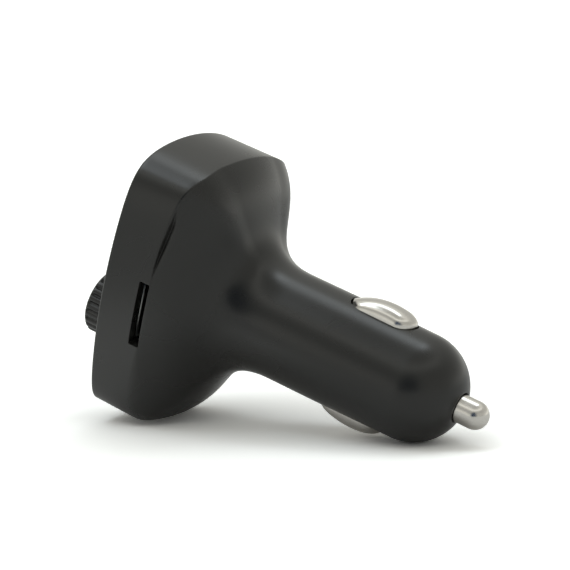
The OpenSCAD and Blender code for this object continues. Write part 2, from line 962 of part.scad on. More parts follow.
module contact_spring(side) {
    upper = [for (k = [0 : leaf_steps])
        let (s = 2 * k / leaf_steps - 1) [leaf_half * s, leaf_z(s) + leaf_t]];
    lower = [for (k = [leaf_steps : -1 : 0])
        let (s = 2 * k / leaf_steps - 1) [leaf_half * s - leaf_t * sign(s), leaf_z(s)]];
    color([0.7, 0.6, 0.35])
        lay()
            mirror([0, 0, side > 0 ? 0 : 1])
                translate([window_x, leaf_w / 2, 0])
                    rotate([90, 0, 0])
                        linear_extrude(leaf_w)
                            polygon(concat(upper, lower));
}

module contact_spring_upper() {
    contact_spring(1);
}

module contact_spring_lower() {
    contact_spring(-1);
}

// Centre contact

flange_t = 1.2;
flange_gap = 0.05;
stem_r = 1.2;
stem_len = 1;
spring_wire_r = 0.25;
spring_turns = 4;
spring_steps = 8;
spring_sides = 6;
flange_back = shoulder_x - flange_gap - flange_t;
stub_len = flange_back - stem_len - bore_end - tip_travel - 3 * play;

module tip_contact() {
    color([0.78, 0.75, 0.72])
        lay()
            along(0)
                rotate_extrude() {
                    translate([0, flange_back])
                        square([chamber_r - play, flange_t]);
                    translate([0, flange_back])
                        square([tip_r, tip_dome_x - flange_back]);
                    translate([0, tip_dome_x])
                        intersection() {
                            circle(tip_r);
                            square(tip_r);
                        }
                    translate([0, flange_back - stem_len])
                        square([stem_r, stem_len + flange_t / 2]);
                }
}

// A round wire swept along a helix about the plug's axis, as one tube with flat ends
function helix_ring(x, r, a, wire_r) =
    [for (k = [0 : spring_sides - 1])
        let (q = 360 * k / spring_sides, reach = r + wire_r * cos(q))
        [x - wire_r * sin(q), reach * sin(a), reach * cos(a)]];

module helix(x0, x1, r, wire_r, turns) {
    count = turns * spring_steps;
    rings = [for (j = [0 : count])
        helix_ring(x0 + wire_r + (x1 - x0 - 2 * wire_r) * j / count, r, 360 * j / spring_steps, wire_r)];
    tube(rings, spring_sides);
}

// Closes a run of rings of n points with flat ends
module tube(rings, n) {
    last = len(rings) - 1;
    points = [for (ring = rings) for (p = ring) p];
    sides = [for (j = [0 : last - 1]) for (k = [0 : n - 1])
        let (
            a = j * n + k,
            b = j * n + (k + 1) % n,
            c = (j + 1) * n + (k + 1) % n,
            d = (j + 1) * n + k
        )
        each [[a, b, c], [a, c, d]]];
    start = [[for (k = [n - 1 : -1 : 0]) k]];
    end = [[for (k = [0 : n - 1]) last * n + k]];
    polyhedron(points, concat(sides, start, end), convexity = 8);
}

spring_r = chamber_r - play - 2 * spring_wire_r;
seat_t = bore_end - contact_end - 4 * play;
seat_front = bore_end - seat_t;
module tip_spring() {
    color([0.7, 0.7, 0.7])
        lay()
            helix(bore_end + play / 2, flange_back - play / 2, spring_r, spring_wire_r, spring_turns);
}

module tip_seat() {
    color([0.85, 0.83, 0.78])
        lay()
            along(seat_front) {
                cylinder(h = seat_t, r = bore_r - play / 2);
                cylinder(h = seat_t + stub_len, r = spring_r - 2 * spring_wire_r - play);
            }
}

// A short insulated lead from the seat's terminal to the power board, as a tube on a route chosen by hand:
// distance in front of the seat, place across, and height over the plug's axis
lead_r = 0.6;
lead_sides = 8;
lead_places = [
    [0, 6.2, 3], [1.3, 6.2, 3], [2.7, 6.2, 2.95], [4.1, 6.1, 2.7], [5.3, 6, 2.2],
    [6.5, 5.9, 1.7], [7.7, 5.8, 1.35], [9.3, 5.8, 1.2], [10.9, 5.8, 1.2]
];
lead_route = [for (p = lead_places) [seat_front - p[0], p[1], p[2]]];
function unit(v) = v / norm(v);
function lead_ring(k) =
    let (
        n = len(lead_route) - 1,
        p = lead_route[k],
        run = unit(lead_route[min(k + 1, n)] - lead_route[max(k - 1, 0)]),
        across = unit(cross(run, [0, 1, 0])),
        up = cross(across, run)
    )
    [for (j = [0 : lead_sides - 1])
        let (q = 360 * j / lead_sides) p + lead_r * (cos(q) * across + sin(q) * up)];

module tip_lead() {
    color([0.6, 0.05, 0.05])
        lay()
            tube([for (k = [0 : len(lead_route) - 1]) lead_ring(k)], lead_sides);
}

housing();
front_fascia();
display_lens();
display_module();
knob();
knob_cap();
encoder_shaft();
switch_plunger();
encoder_body();
usb_shell_left();
usb_shell_right();
usb_tongue_left();
usb_tongue_right();
front_board();
board_screws();
card_socket_shell();
card_socket_base();
microphone();
radio_chip();
fm_chip();
crystal();
board_connector();
power_board();
inductor();
capacitor();
regulator();
fuse();
tip_contact();
tip_spring();
tip_seat();
tip_lead();
side_contact_upper();
side_contact_lower();
contact_spring_upper();
contact_spring_lower();
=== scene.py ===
"""The looks of a car FM transmitter: a black moulded head and plug with nickel contacts, on a white table."""
import json
import math

import bmesh
import bpy
import numpy as np
from mathutils import Matrix, Vector
from mathutils.geometry import tessellate_polygon


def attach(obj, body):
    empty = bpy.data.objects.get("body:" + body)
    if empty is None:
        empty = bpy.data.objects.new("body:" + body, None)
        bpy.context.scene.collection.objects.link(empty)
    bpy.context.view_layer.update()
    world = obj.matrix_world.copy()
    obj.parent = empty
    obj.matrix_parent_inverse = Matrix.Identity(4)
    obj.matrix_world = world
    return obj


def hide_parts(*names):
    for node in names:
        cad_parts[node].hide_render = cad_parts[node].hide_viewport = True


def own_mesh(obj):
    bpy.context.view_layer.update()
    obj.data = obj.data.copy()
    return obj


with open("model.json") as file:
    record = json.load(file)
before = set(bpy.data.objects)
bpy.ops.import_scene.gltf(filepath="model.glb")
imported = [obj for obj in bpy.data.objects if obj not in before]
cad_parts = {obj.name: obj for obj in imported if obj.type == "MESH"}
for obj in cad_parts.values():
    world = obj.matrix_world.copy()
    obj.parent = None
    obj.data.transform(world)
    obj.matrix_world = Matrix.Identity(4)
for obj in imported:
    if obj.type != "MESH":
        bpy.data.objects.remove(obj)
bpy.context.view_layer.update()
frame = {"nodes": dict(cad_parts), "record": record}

# The plug's frame: millimetres along the plug from the head's front rim, across, and up

MM = 0.001
BARREL_MID = 35.95


def plug_frame():
    """The matrix from the plug's millimetres to metres in the row frame, from the barrel's mount."""
    barrel = next(m for m in frame["record"]["mounts"] if m["name"] == "plug_barrel")
    along = Vector(barrel["axis"]).normalized()
    across = Vector((0, 1, 0))
    up = along.cross(across)
    turn = Matrix((along, across, up)).transposed().to_4x4()
    origin = Vector(barrel["pos_m"]) - BARREL_MID * MM * along
    return Matrix.Translation(origin) @ turn @ Matrix.Scale(MM, 4)


LAY = plug_frame()

# Sizes of the head, in millimetres

HEAD_HALF_W = 19.55
HEAD_WIDEST_Z = 12.3
SIDE_BOW_R = 95.0
HEAD_TOP = 26.8
TOP_BOW_R = 49.0
HEAD_BOTTOM = 27.4
CORNER_SHARPNESS = 12.6
CORNER_SOFTENING = 2.85
BELL_SHARPENING = 2.5
BAND_DEPTH = 10.65
BAND_WAVE_SHARES = (1, 0.045, 0.125, 0.005, 0.05, -0.035)
CORNER_TURN = 32.0
CORNER_SPREAD = 13.0
CORNER_REACH = 0.65
BELL_END = 30.75
BELL_LEAN_SHARE = 0.02
BELL_START_SHARE = 0.51
BELL_SHOULDER_SHARE = 0.445
BELL_SHOULDER_LEAN_SHARE = 0.035
BELL_TAIL_SHARE = 0.71
BELL_TAIL_LIFT_SHARE = 0.007
BELL_INNER_SHIFT = 0.6
WALL = 1.8
RIM_ROUND = 0.5
RIM_WALL = 1.2
RIM_INNER_ROUND = 0.15
LEDGE_W = 2.7
LEDGE_T = 1.2

# Sizes of the plug

BARREL_R = 10.5
BARREL_DRAFT = 0.2
DRAFT_X = 41.0
NOSE_X = 57.75
NOSE_R = BARREL_R - BARREL_DRAFT
BORE_R = 8.9
BORE_END = 56.95
TIP_R = 2.7
TIP_GAP = 0.2
TIP_HOLE_ROUND = 0.2
TIP_DOME_X = 70.9
CHAMBER_R = 3.95
SHOULDER_X = 63.93
WINDOW_X = 48.0
WINDOW_LEN = 13.8
WINDOW_W = 7.0
WINDOW_ROUND = 0.16
CONTACT_PROUD = 2.0
CONTACT_GAP = 0.25
CONTACT_PEAK = 0.8

# Sizes of the card slot

SLOT_LEN = 13.3
SLOT_W = 2.15
SLOT_Z = -4.1
BOARD_X = 9.75
SLOT_X = BOARD_X - SLOT_W / 2
SLOT_CORNER_R = 0.25
SLOT_ROUND = 0.1

# Sizes of the knob

KNOB_R = 6.4
KNOB_OUT = 9.1
KNOB_BACK = 0.4
KNOB_Z = -11.8
KNOB_RIBS = 24
GROOVE_DEPTH = 0.45
KNOB_EDGE_R = 0.6
CAP_R = 5.1
CAP_T = 0.8
KNOB_HOLLOW_R = 3.9
KNOB_HOLLOW = 1.8

# Sizes of the front

FASCIA_T = 2.2
FASCIA_GAP = 0.1
FASCIA_ROUND = 0.2
PLAY = 0.1
RECESS_DEPTH = 1.4
RECESS_GAP = 0.5
BUSHING_R = 3.4
MIC_PLACE = (11.4, -3.0)
MIC_HOLE_R = 0.6
MIC_R = 2.0
MIC_T = 1.6
MIC_COLLAR = 0.8
POST_R = 1.8
SCREW_R = 0.85
SCREW_DEPTH = 5.0
LENS_W = 25.0
LENS_H = 10.8
LENS_Z = 17.0
LENS_T = 1.0
LENS_CORNER_R = 2.0
WINDOW_BORDER = 1.4
USB_W = 13.1
USB_H = 5.7
USB_DEPTH = 13.7
USB_SHEET = 0.35
USB_CORNER_R = 0.8
USB_Y = 7.5
USB_Z = 7.1
USB_FRONT = 0.15


def arc_reach(dy, dz, cy, cz, radius):
    """How far a ray from the plug's axis goes until it meets a wall of that radius and centre."""
    k = dy * cy + dz * cz
    return k + np.sqrt(radius**2 - cy**2 - cz**2 + k**2)


def outline_r(a, sharpening=0.0):
    """Distance from the plug's axis to the head's outline at angle a from the top, towards +Y."""
    dy = np.sin(a)
    dz = np.cos(a)
    side = arc_reach(np.abs(dy), dz, HEAD_HALF_W - SIDE_BOW_R, HEAD_WIDEST_Z, SIDE_BOW_R)
    top = arc_reach(dy, dz, 0, HEAD_TOP - TOP_BOW_R, TOP_BOW_R)
    floor_share = np.maximum(-dz, 0) / HEAD_BOTTOM
    p = CORNER_SHARPNESS - CORNER_SOFTENING * dz + sharpening
    return (side**-p + top**-p + floor_share**p) ** (-1 / p)


def bezier(t, p0, p1, p2, p3):
    """A cubic curve's value at t."""
    u = 1 - t
    return u**3 * p0 + 3 * t * u**2 * p1 + 3 * t**2 * u * p2 + t**3 * p3


def band_end(a):
    """Where the straight wall band ends and the bell starts, a little further on at the two top corners."""
    off_top = np.degrees(np.arccos(np.clip(np.cos(a), -1, 1)))
    off_corner = np.clip(np.abs(off_top - CORNER_TURN) / CORNER_SPREAD, 0, 1)
    corner = CORNER_REACH * np.cos(off_corner * math.pi / 2) ** 2
    return corner + BAND_DEPTH * sum(share * np.cos(k * a) for k, share in enumerate(BAND_WAVE_SHARES))


def bell_x(t, a):
    start = band_end(a)
    end = BELL_END * (1 - BELL_LEAN_SHARE * np.cos(a))
    run = end - start
    return bezier(t, start, start + BELL_START_SHARE * run, end - BELL_TAIL_SHARE * run, end)


def bell_r(t, a):
    shoulder = BELL_SHOULDER_SHARE - BELL_SHOULDER_LEAN_SHARE * np.cos(a)
    fall = bezier(t, 1, 1 - shoulder, BELL_TAIL_LIFT_SHARE, 0)
    return BARREL_R + (outline_r(a, BELL_SHARPENING) - BARREL_R) * fall


def band_r(x, a):
    """Radius of the band at x: a straight run from the rim's outline to the sharper one at the bell."""
    share = (x - RIM_ROUND) / (band_end(a) - RIM_ROUND)
    return outline_r(a) * (1 - share) + outline_r(a, BELL_SHARPENING) * share


def barrel_r(x):
    """Radius of the barrel at x, with its draft towards the nose."""
    share = np.clip((x - DRAFT_X) / (NOSE_X - DRAFT_X), 0, 1)
    return BARREL_R - BARREL_DRAFT * share


# Meshes


def full_turn(steps):
    """Angles all the way round."""
    return np.linspace(0, 2 * math.pi, steps, endpoint=False)


class Sheet:
    """A growing list of points and faces, in the plug's millimetres."""

    def __init__(self):
        self.points = []
        self.faces = []

    def add(self, points):
        """Adds points and gives their numbers."""
        start = len(self.points)
        self.points.extend(tuple(float(c) for c in p) for p in points)
        return list(range(start, len(self.points)))

    def loop(self, x, points):
        """Adds points (y, z) at x and gives their numbers."""
        return self.add([(x, y, z) for y, z in points])

    def skin(self, loops, closed=False):
        """Fills between each loop and the next of as many points; closed joins the last to the first."""
        for a, b in zip(loops, loops[1:] + (loops[:1] if closed else [])):
            n = len(a)
            for k in range(n):
                corners = tuple(dict.fromkeys((a[k], b[k], b[(k + 1) % n], a[(k + 1) % n])))
                if len(corners) > 2:
                    self.faces.append(corners)

    def fill(self, loops):
        """Fills a flat outline, less the holes that the further loops make in it."""
        corners = [k for loop in loops for k in loop]
        for triangle in tessellate_polygon([[Vector(self.points[k]) for k in loop] for loop in loops]):
            self.faces.append(tuple(corners[k] for k in triangle))

    def lathe(self, profile, sides, centre=(0.0, 0.0), ribs=None, closed=False):
        """A solid of revolution along the plug, from a profile of (x, radius). ribs is how strongly each row
        carries the grip's grooves, and closed joins the last row to the first."""
        turn = full_turn(sides)
        groove = ((1 - np.cos(KNOB_RIBS * turn)) / 2) ** 2
        rows = []
        for k, (x, radius) in enumerate(profile):
            if radius == 0:
                rows.append(self.add([(x, *centre)]) * sides)
                continue
            reach = radius - (ribs[k] if ribs else 0) * GROOVE_DEPTH * groove
            rows.append(self.loop(x, zip(centre[0] + reach * np.sin(turn), centre[1] + reach * np.cos(turn))))
        self.skin(rows, closed)

    def sweep(self, rings):
        """A tube through rings of as many points, closed at both ends."""
        rows = [self.add(ring) for ring in rings]
        self.skin(rows)
        self.fill([rows[0]])
        self.fill([rows[-1]])

    def panel(self, rows, outline):
        """A plate across the plug: rows are (x, grow), and outline(grow) gives its points (y, z)."""
        self.sweep([[(x, y, z) for y, z in outline(grow)] for x, grow in rows])


def link_object(name, data):
    obj = bpy.data.objects.new(name, data)
    bpy.context.scene.collection.objects.link(obj)
    return obj


def new_object(name, sheet, material, body):
    """A mesh from a sheet, set in the row frame, riding on a body. Faces square to the plug stay flat."""
    mesh = bpy.data.meshes.new(name)
    mesh.from_pydata(sheet.points, [], sheet.faces)
    flat_height = 1e-4
    smooth = [bool(np.ptp([sheet.points[k][0] for k in face]) > flat_height) for face in sheet.faces]
    mesh.polygons.foreach_set("use_smooth", smooth)
    mesh.transform(LAY)
    work = bmesh.new()
    work.from_mesh(mesh)
    bmesh.ops.delete(work, geom=[v for v in work.verts if not v.link_faces], context="VERTS")
    bmesh.ops.recalc_face_normals(work, faces=work.faces)
    work.to_mesh(mesh)
    work.free()
    mesh.materials.append(material)
    obj = link_object(name, mesh)
    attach(obj, body)
    return obj


def arc_rows(cx, cr, radius, start, end, steps):
    """Points (x, r) of an arc about (cx, cr), from start to end in degrees from the +x direction."""
    angles = np.radians(np.linspace(start, end, steps + 1))
    return [(cx + radius * math.cos(q), cr + radius * math.sin(q)) for q in angles]


def quarter(radius, degrees):
    """A quarter round's two insets, at angles on it."""
    return [(radius * (1 - math.sin(q)), radius * (1 - math.cos(q))) for q in np.radians(degrees)]


def rounded_rect(centre, w, h, r, grow=0.0):
    """Points (y, z) of a rectangle with round corners, grown outwards."""
    corner_steps = 8
    points = []
    for corner, (sy, sz) in enumerate(((1, 1), (-1, 1), (-1, -1), (1, -1))):
        for q in np.radians(90 * corner + np.linspace(0, 90, corner_steps + 1)):
            y = centre[0] + sy * (w / 2 - r) + (r + grow) * math.cos(q)
            z = centre[1] + sz * (h / 2 - r) + (r + grow) * math.sin(q)
            points.append((y, z))
    return points


def circle(centre, radius, sides=96):
    turn = full_turn(sides)
    return list(zip(centre[0] + radius * np.cos(turn), centre[1] + radius * np.sin(turn)))


# Housing

COLUMNS = 360
RIM_ROWS = 9
BAND_ROWS = 5
BARREL_ROWS = 14
WINDOW_ROWS = 20
NOSE_ROWS = 30
INSIDE_ROWS = 22
INSIDE_SAMPLES = 60
CREASE_ROUND = 0.18
CREASE_ROUND_LOW = 1.6
CREASE_LOW_Z = (9, 24)
CREASE_STEPS = 7
GROOVE_IN = 1.05
GROOVE_IN_POWER = 1.3
GROOVE_FALL = 0.15
GROOVE_RISE = 1.9
GROOVE_W = 2.1
GROOVE_END_SHARE = 0.25
GROOVE_OPENS_Z = (0, 12.5)
GROOVE_CLOSES_Z = (15, 20)
GROOVE_SHARES = (0.04, 0.08, 0.12, 0.145, 0.155, 0.19, 0.26, 0.34,
                 0.43, 0.53, 0.64, 0.76, 0.88, 1.0, 1.1, 1.25)
BELL_SAMPLES = 400
BELL_ROWS = 48
BELL_CROWDING = 1.3
WINDOW_MARGIN = 1.1
WINDOW_COLUMNS = 29
PATCH_RINGS = 6
PATCH_CROWDING = 1.4
SLOT_ROWS = 18
SLOT_MARGIN = 1.2
SIDE_ANGLE = math.asin((HEAD_WIDEST_Z - SLOT_Z) / SIDE_BOW_R)


def smooth_step(value, low, high):
    s = np.clip((value - low) / (high - low), 0, 1)
    return s * s * (3 - 2 * s)


def crease_round(a):
    """Half the width of the soft edge between band and bell: crisp above, softer towards the bottom."""
    return CREASE_ROUND + CREASE_ROUND_LOW * smooth_step(-outline_r(a) * np.cos(a), *CREASE_LOW_Z)


def groove_crescent(a):
    """How far the groove beside the head's upper half has opened at angles a, from 0 to 1."""
    z = outline_r(a) * np.cos(a)
    return smooth_step(z, *GROOVE_OPENS_Z) * (1 - smooth_step(z, *GROOVE_CLOSES_Z))


def groove_width(a):
    return GROOVE_W * (GROOVE_END_SHARE + (1 - GROOVE_END_SHARE) * groove_crescent(a))


def side_groove(x, a):
    """Depth of the crescent that is let into the bell just behind the crease."""
    behind = (x - band_end(a) - crease_round(a)) / groove_width(a)
    down = smooth_step(behind, 0, GROOVE_FALL)
    back = np.clip((1 - behind) / (1 - GROOVE_FALL), 0, 1) ** GROOVE_RISE
    return GROOVE_IN * groove_crescent(a) ** GROOVE_IN_POWER * down * back


def slot_angle(across):
    """Angle from the top of the point on the -Y wall that is so far along the wall from the slot's middle."""
    bow = SIDE_ANGLE - across / SIDE_BOW_R
    y = -(HEAD_HALF_W - SIDE_BOW_R + SIDE_BOW_R * np.cos(bow))
    z = HEAD_WIDEST_Z - SIDE_BOW_R * np.sin(bow)
    return np.arctan2(y, z) % (2 * math.pi)


def slot_place(a):
    """The other way round: how far along the wall from the slot's middle the wall lies at angle a."""
    z = outline_r(a) * np.cos(a)
    return SIDE_BOW_R * (SIDE_ANGLE - np.arcsin((HEAD_WIDEST_Z - z) / SIDE_BOW_R))


def outer_profile(a):
    """Rows of the band's end and the bell at angles a, each a pair of arrays (x, r)."""
    c = crease_round(a)
    corner = band_end(a)
    first_half = np.linspace(0, 0.5, BELL_SAMPLES)
    reach = np.array([bell_x(t, a) for t in first_half])

    def bell_share(x):
        return np.array([np.interp(place, column, first_half) for place, column in zip(x, reach.T)])

    t_start = bell_share(corner + c)
    x_start = corner - c
    r_start = band_r(x_start, a)
    r_corner = outline_r(a, BELL_SHARPENING)
    x_end = bell_x(t_start, a)
    r_end = bell_r(t_start, a)
    rows = []
    for s in np.linspace(0, 1, CREASE_STEPS + 1):
        x = (1 - s) ** 2 * x_start + 2 * s * (1 - s) * corner + s**2 * x_end
        r = (1 - s) ** 2 * r_start + 2 * s * (1 - s) * r_corner + s**2 * r_end
        rows.append((x, r - side_groove(x, a)))
    for share in GROOVE_SHARES:
        t_start = bell_share(corner + c + share * groove_width(a))
        x = bell_x(t_start, a)
        rows.append((x, bell_r(t_start, a) - side_groove(x, a)))
    for s in (np.arange(1, BELL_ROWS + 1) / BELL_ROWS) ** BELL_CROWDING:
        t = t_start + (1 - t_start) * s
        rows.append((bell_x(t, a), bell_r(t, a)))
    return rows


def at_columns(rows, x):
    """Radius at x in each column, from rows of (x, r)."""
    xs = np.array([row[0] for row in rows])
    rs = np.array([row[1] for row in rows])
    return np.array([np.interp(x[k], xs[:, k], rs[:, k]) for k in range(len(x))])


def outer_r(x, a):
    """Radius of the band's and bell's outside at points (x, a)."""
    start = RIM_ROUND * np.ones_like(a)
    return at_columns([(start, outline_r(a))] + outer_profile(a), x)


def inner_profile(a, count):
    """Rows of the head's inside at angles a, from the barrel back to the band."""
    rows = []
    for t in np.linspace(1, 0, count):
        thickness = WALL * (1 - t) + (BARREL_R - BORE_R) * t
        rows.append((bell_x(t, a) - BELL_INNER_SHIFT * (1 - t), bell_r(t, a) - thickness))
    return rows


def inner_r(x, a):
    """Radius of the head's inside at points (x, a)."""
    start = np.zeros_like(a)
    return at_columns([(start, outline_r(a) - WALL)] + inner_profile(a, INSIDE_SAMPLES)[::-1], x)


def column_angles():
    """Angles of the housing's columns, with one on each end of the slot's patch."""
    low = slot_angle(-SLOT_LEN / 2 - SLOT_MARGIN)
    high = slot_angle(SLOT_LEN / 2 + SLOT_MARGIN)
    step = 2 * math.pi / COLUMNS
    first = round(low / step)
    last = round(high / step)
    before = np.linspace(0, low, first + 1)[:-1]
    inside = np.linspace(low, high, last - first + 1)
    after = np.linspace(high, 2 * math.pi, COLUMNS - last + 1)[1:-1]
    return np.concatenate([before, inside, after]), first, last


def patch_loop(low_row, high_row, columns, ids):
    """Point numbers round a rectangle of the grid: from the low row along the columns, then up the rows."""
    rows = list(range(low_row, high_row, 1 if high_row > low_row else -1))
    loop = [ids(low_row, j) for j in columns[:-1]]
    loop += [ids(i, columns[-1]) for i in rows]
    loop += [ids(high_row, j) for j in reversed(columns[1:])]
    loop += [ids(i, columns[0]) for i in [high_row] + rows[:0:-1]]
    return loop


def cut_through(sheet, outer_ids, inner_ids, places_of, half, corner, on_outer, on_inner, round_r):
    """An opening with round corners: fills from a patch's edge on the outside, over a rounded edge and
    through the wall, to the patch's edge on the inside."""
    outer_places = places_of(np.array([sheet.points[k] for k in outer_ids]))
    inner_places = places_of(np.array([sheet.points[k] for k in inner_ids]))
    core_half = np.array(half) - corner
    core = np.clip(outer_places, -core_half, core_half)
    out = outer_places - core
    out = out / np.linalg.norm(out, axis=1)[:, None]

    def edge(grow=0.0):
        return core + (corner + grow) * out

    loops = [outer_ids]
    for k in range(1, PATCH_RINGS + 1):
        f = 1 - (1 - k / PATCH_RINGS) ** PATCH_CROWDING
        loops.append(sheet.add(on_outer(outer_places * (1 - f) + edge(round_r) * f, 0)))
    for grow, depth in quarter(round_r, range(30, 91, 30)):
        loops.append(sheet.add(on_outer(edge(grow), depth)))
    for f in np.linspace(1, 0, PATCH_RINGS)[:-1]:
        loops.append(sheet.add(on_inner(inner_places * (1 - f) + edge() * f)))
    sheet.skin(loops + [inner_ids])


def cut_window(sheet, outer_ids, inner_ids):
    """A side contact's window through the barrel."""
    up = math.copysign(1, sheet.points[outer_ids[0]][2])
    middle = np.array([WINDOW_X, 0])

    def on_wall(places, radius, depth=0):
        x, y = (places + middle).T
        return np.stack([x, y, up * (np.sqrt(radius(x) ** 2 - y**2) - depth)], axis=-1)

    cut_through(sheet, outer_ids, inner_ids, lambda points: points[:, :2] - middle,
                (WINDOW_LEN / 2, WINDOW_W / 2), WINDOW_W / 2,
                lambda places, depth: on_wall(places, barrel_r, depth),
                lambda places: on_wall(places, lambda x: BORE_R), WINDOW_ROUND)


def cut_slot(sheet, outer_ids, inner_ids):
    """The card slot through the head's -Y wall."""
    inward = np.array([0, math.cos(SIDE_ANGLE), math.sin(SIDE_ANGLE)])

    def on_wall(places, radius):
        angle = slot_angle(places[:, 1])
        r = radius(places[:, 0] + SLOT_X, angle)
        return np.stack([places[:, 0] + SLOT_X, r * np.sin(angle), r * np.cos(angle)], axis=-1)

    def places_of(points):
        angle = np.arctan2(points[:, 1], points[:, 2]) % (2 * math.pi)
        return np.stack([points[:, 0] - SLOT_X, slot_place(angle)], axis=-1)

    cut_through(sheet, outer_ids, inner_ids, places_of, (SLOT_W / 2, SLOT_LEN / 2), SLOT_CORNER_R,
                lambda places, depth: on_wall(places, outer_r) + depth * inward,
                lambda places: on_wall(places, inner_r), SLOT_ROUND)


def housing_sheet():
    """The whole moulding as one closed mesh, with its three openings."""
    a, slot_low, slot_high = column_angles()
    ones = np.ones_like(a)
    r0 = outline_r(a)
    rows = []

    def level(x, r):
        rows.append((x * ones, r * ones))

    # Rim, from its inner edge to its outer one
    for x, inset in quarter(RIM_INNER_ROUND, range(0, 91, 30)):
        level(x, r0 - RIM_WALL + inset)
    for inset, x in quarter(RIM_ROUND, range(0, 91, 15)):
        level(x, r0 - inset)

    # Band: a few rows up to the slot's patch, whose rows run on past the crease
    patch_x = SLOT_X - SLOT_W / 2 - SLOT_MARGIN
    for x in np.linspace(RIM_ROUND, patch_x, RIM_ROWS)[1:-1]:
        level(x, band_r(x, a))
    slot_row = len(rows)
    profile = outer_profile(a)
    crease_start = profile[0][0]
    for k in range(BAND_ROWS):
        x = patch_x + (crease_start - patch_x) * k / BAND_ROWS
        level(x, band_r(x, a))
    rows.extend(profile)

    # Barrel
    window_start = WINDOW_X - WINDOW_LEN / 2 - WINDOW_MARGIN
    window_end = WINDOW_X + WINDOW_LEN / 2 + WINDOW_MARGIN
    bell_last = profile[-1][0]
    beside = np.linspace(window_start, window_end, WINDOW_ROWS)
    before_shares = np.linspace(0, 1, BARREL_ROWS)[1:-1]
    for share in before_shares:
        x = bell_last * (1 - share) + window_start * share
        level(x, barrel_r(x))
    window_row = len(rows)
    window_row_end = window_row + WINDOW_ROWS - 1
    for x in [*beside, *np.linspace(window_end, NOSE_X, 3)[1:]]:
        level(x, barrel_r(x))

    # Nose, and the hole that the centre contact runs in
    hole_r = TIP_R + TIP_GAP
    nose_turn = math.acos((hole_r + TIP_HOLE_ROUND) / NOSE_R)
    for q in np.linspace(0, nose_turn, NOSE_ROWS)[1:]:
        level(NOSE_X + NOSE_R * math.sin(q), NOSE_R * math.cos(q))
    edge_x = NOSE_X + NOSE_R * math.sin(nose_turn)
    for out, back in quarter(TIP_HOLE_ROUND, range(30, 91, 30)):
        level(edge_x - back, hole_r + out)
    level(SHOULDER_X, hole_r)
    level(SHOULDER_X, CHAMBER_R)
    level(BORE_END, CHAMBER_R)
    level(BORE_END, BORE_R)

    # Bore, with rows that match those beside the windows
    bore_row_end = len(rows)
    for x in beside[::-1]:
        level(x, BORE_R)
    bore_row = len(rows) - 1
    inside = inner_profile(a, INSIDE_ROWS)
    for share in before_shares[::-3]:
        level(inside[0][0] * (1 - share) + window_start * share, BORE_R)

    # Inside of the bell and the band, and the ledge behind the fascia
    inner_slot_steps = 8
    rows.extend(inside[:-inner_slot_steps])
    inner_slot_row_end = len(rows)
    start_x = inside[-inner_slot_steps][0]
    for share in np.linspace(0, 1, SLOT_ROWS + 1):
        x = start_x + (patch_x - start_x) * share
        level(x, inner_r(x, a))
    inner_slot_row = len(rows) - 1
    for x, inset in ((FASCIA_T + LEDGE_T, WALL), (FASCIA_T + LEDGE_T, LEDGE_W),
                     (FASCIA_T, LEDGE_W), (FASCIA_T, RIM_WALL)):
        level(x, r0 - inset)

    sheet = Sheet()
    n = len(a)
    count = len(rows)
    xs = np.array([row[0] for row in rows])
    rs = np.array([row[1] for row in rows])
    sheet.add(np.stack([xs, rs * np.sin(a), rs * np.cos(a)], axis=-1).reshape(-1, 3))

    def ids(i, j):
        return i * n + j % n

    half = WINDOW_COLUMNS // 2
    window_rows = (window_row, window_row_end, bore_row, bore_row_end)
    slot_rows = (slot_row, slot_row + SLOT_ROWS, inner_slot_row, inner_slot_row_end)
    lowest = int(np.argmin(np.abs(a - math.pi)))
    openings = [
        (cut_window, range(-half, half + 1), window_rows),
        (cut_window, range(lowest - half, lowest + half + 1), window_rows),
        (cut_slot, range(slot_low, slot_high + 1), slot_rows),
    ]
    skipped = set()
    for _, columns, (low, high, inner_low, inner_high) in openings:
        for j in columns[:-1]:
            skipped.update((i, j % n) for i in range(low, high))
            skipped.update((i, j % n) for i in range(inner_high, inner_low))
    for i in range(count):
        following = (i + 1) % count
        for j in range(n):
            if (i, j) not in skipped:
                sheet.faces.append((ids(i, j), ids(following, j), ids(following, j + 1), ids(i, j + 1)))
    for cut, columns, (low, high, inner_low, inner_high) in openings:
        cut(sheet, patch_loop(low, high, columns, ids), patch_loop(inner_low, inner_high, columns, ids))
    return sheet


def make_housing(material):
    housing = new_object("moulded_housing", housing_sheet(), material, "transmitter")
    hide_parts("housing")


# Fascia, lens and sockets

LENS_PLACE = (0.0, LENS_Z)
KNOB_PLACE = (0.0, KNOB_Z)
UPPER_POST = (LENS_W / 2 + PLAY + 0.5 * POST_R, USB_Z + USB_H / 2 + 4 * PLAY + POST_R)
LOWER_POST = (KNOB_R + PLAY + 0.9 * POST_R, KNOB_Z - KNOB_R - POST_R)
POST_PLACES = [(side * y, z) for y, z in (UPPER_POST, LOWER_POST) for side in (1, -1)]
POST_SIDES = 48


def edge_rows(radius):
    """Rows (x, grow) of a quarter round at the front, from the face to the wall."""
    return [(x, -inset) for x, inset in quarter(radius, range(90, -1, -30))]


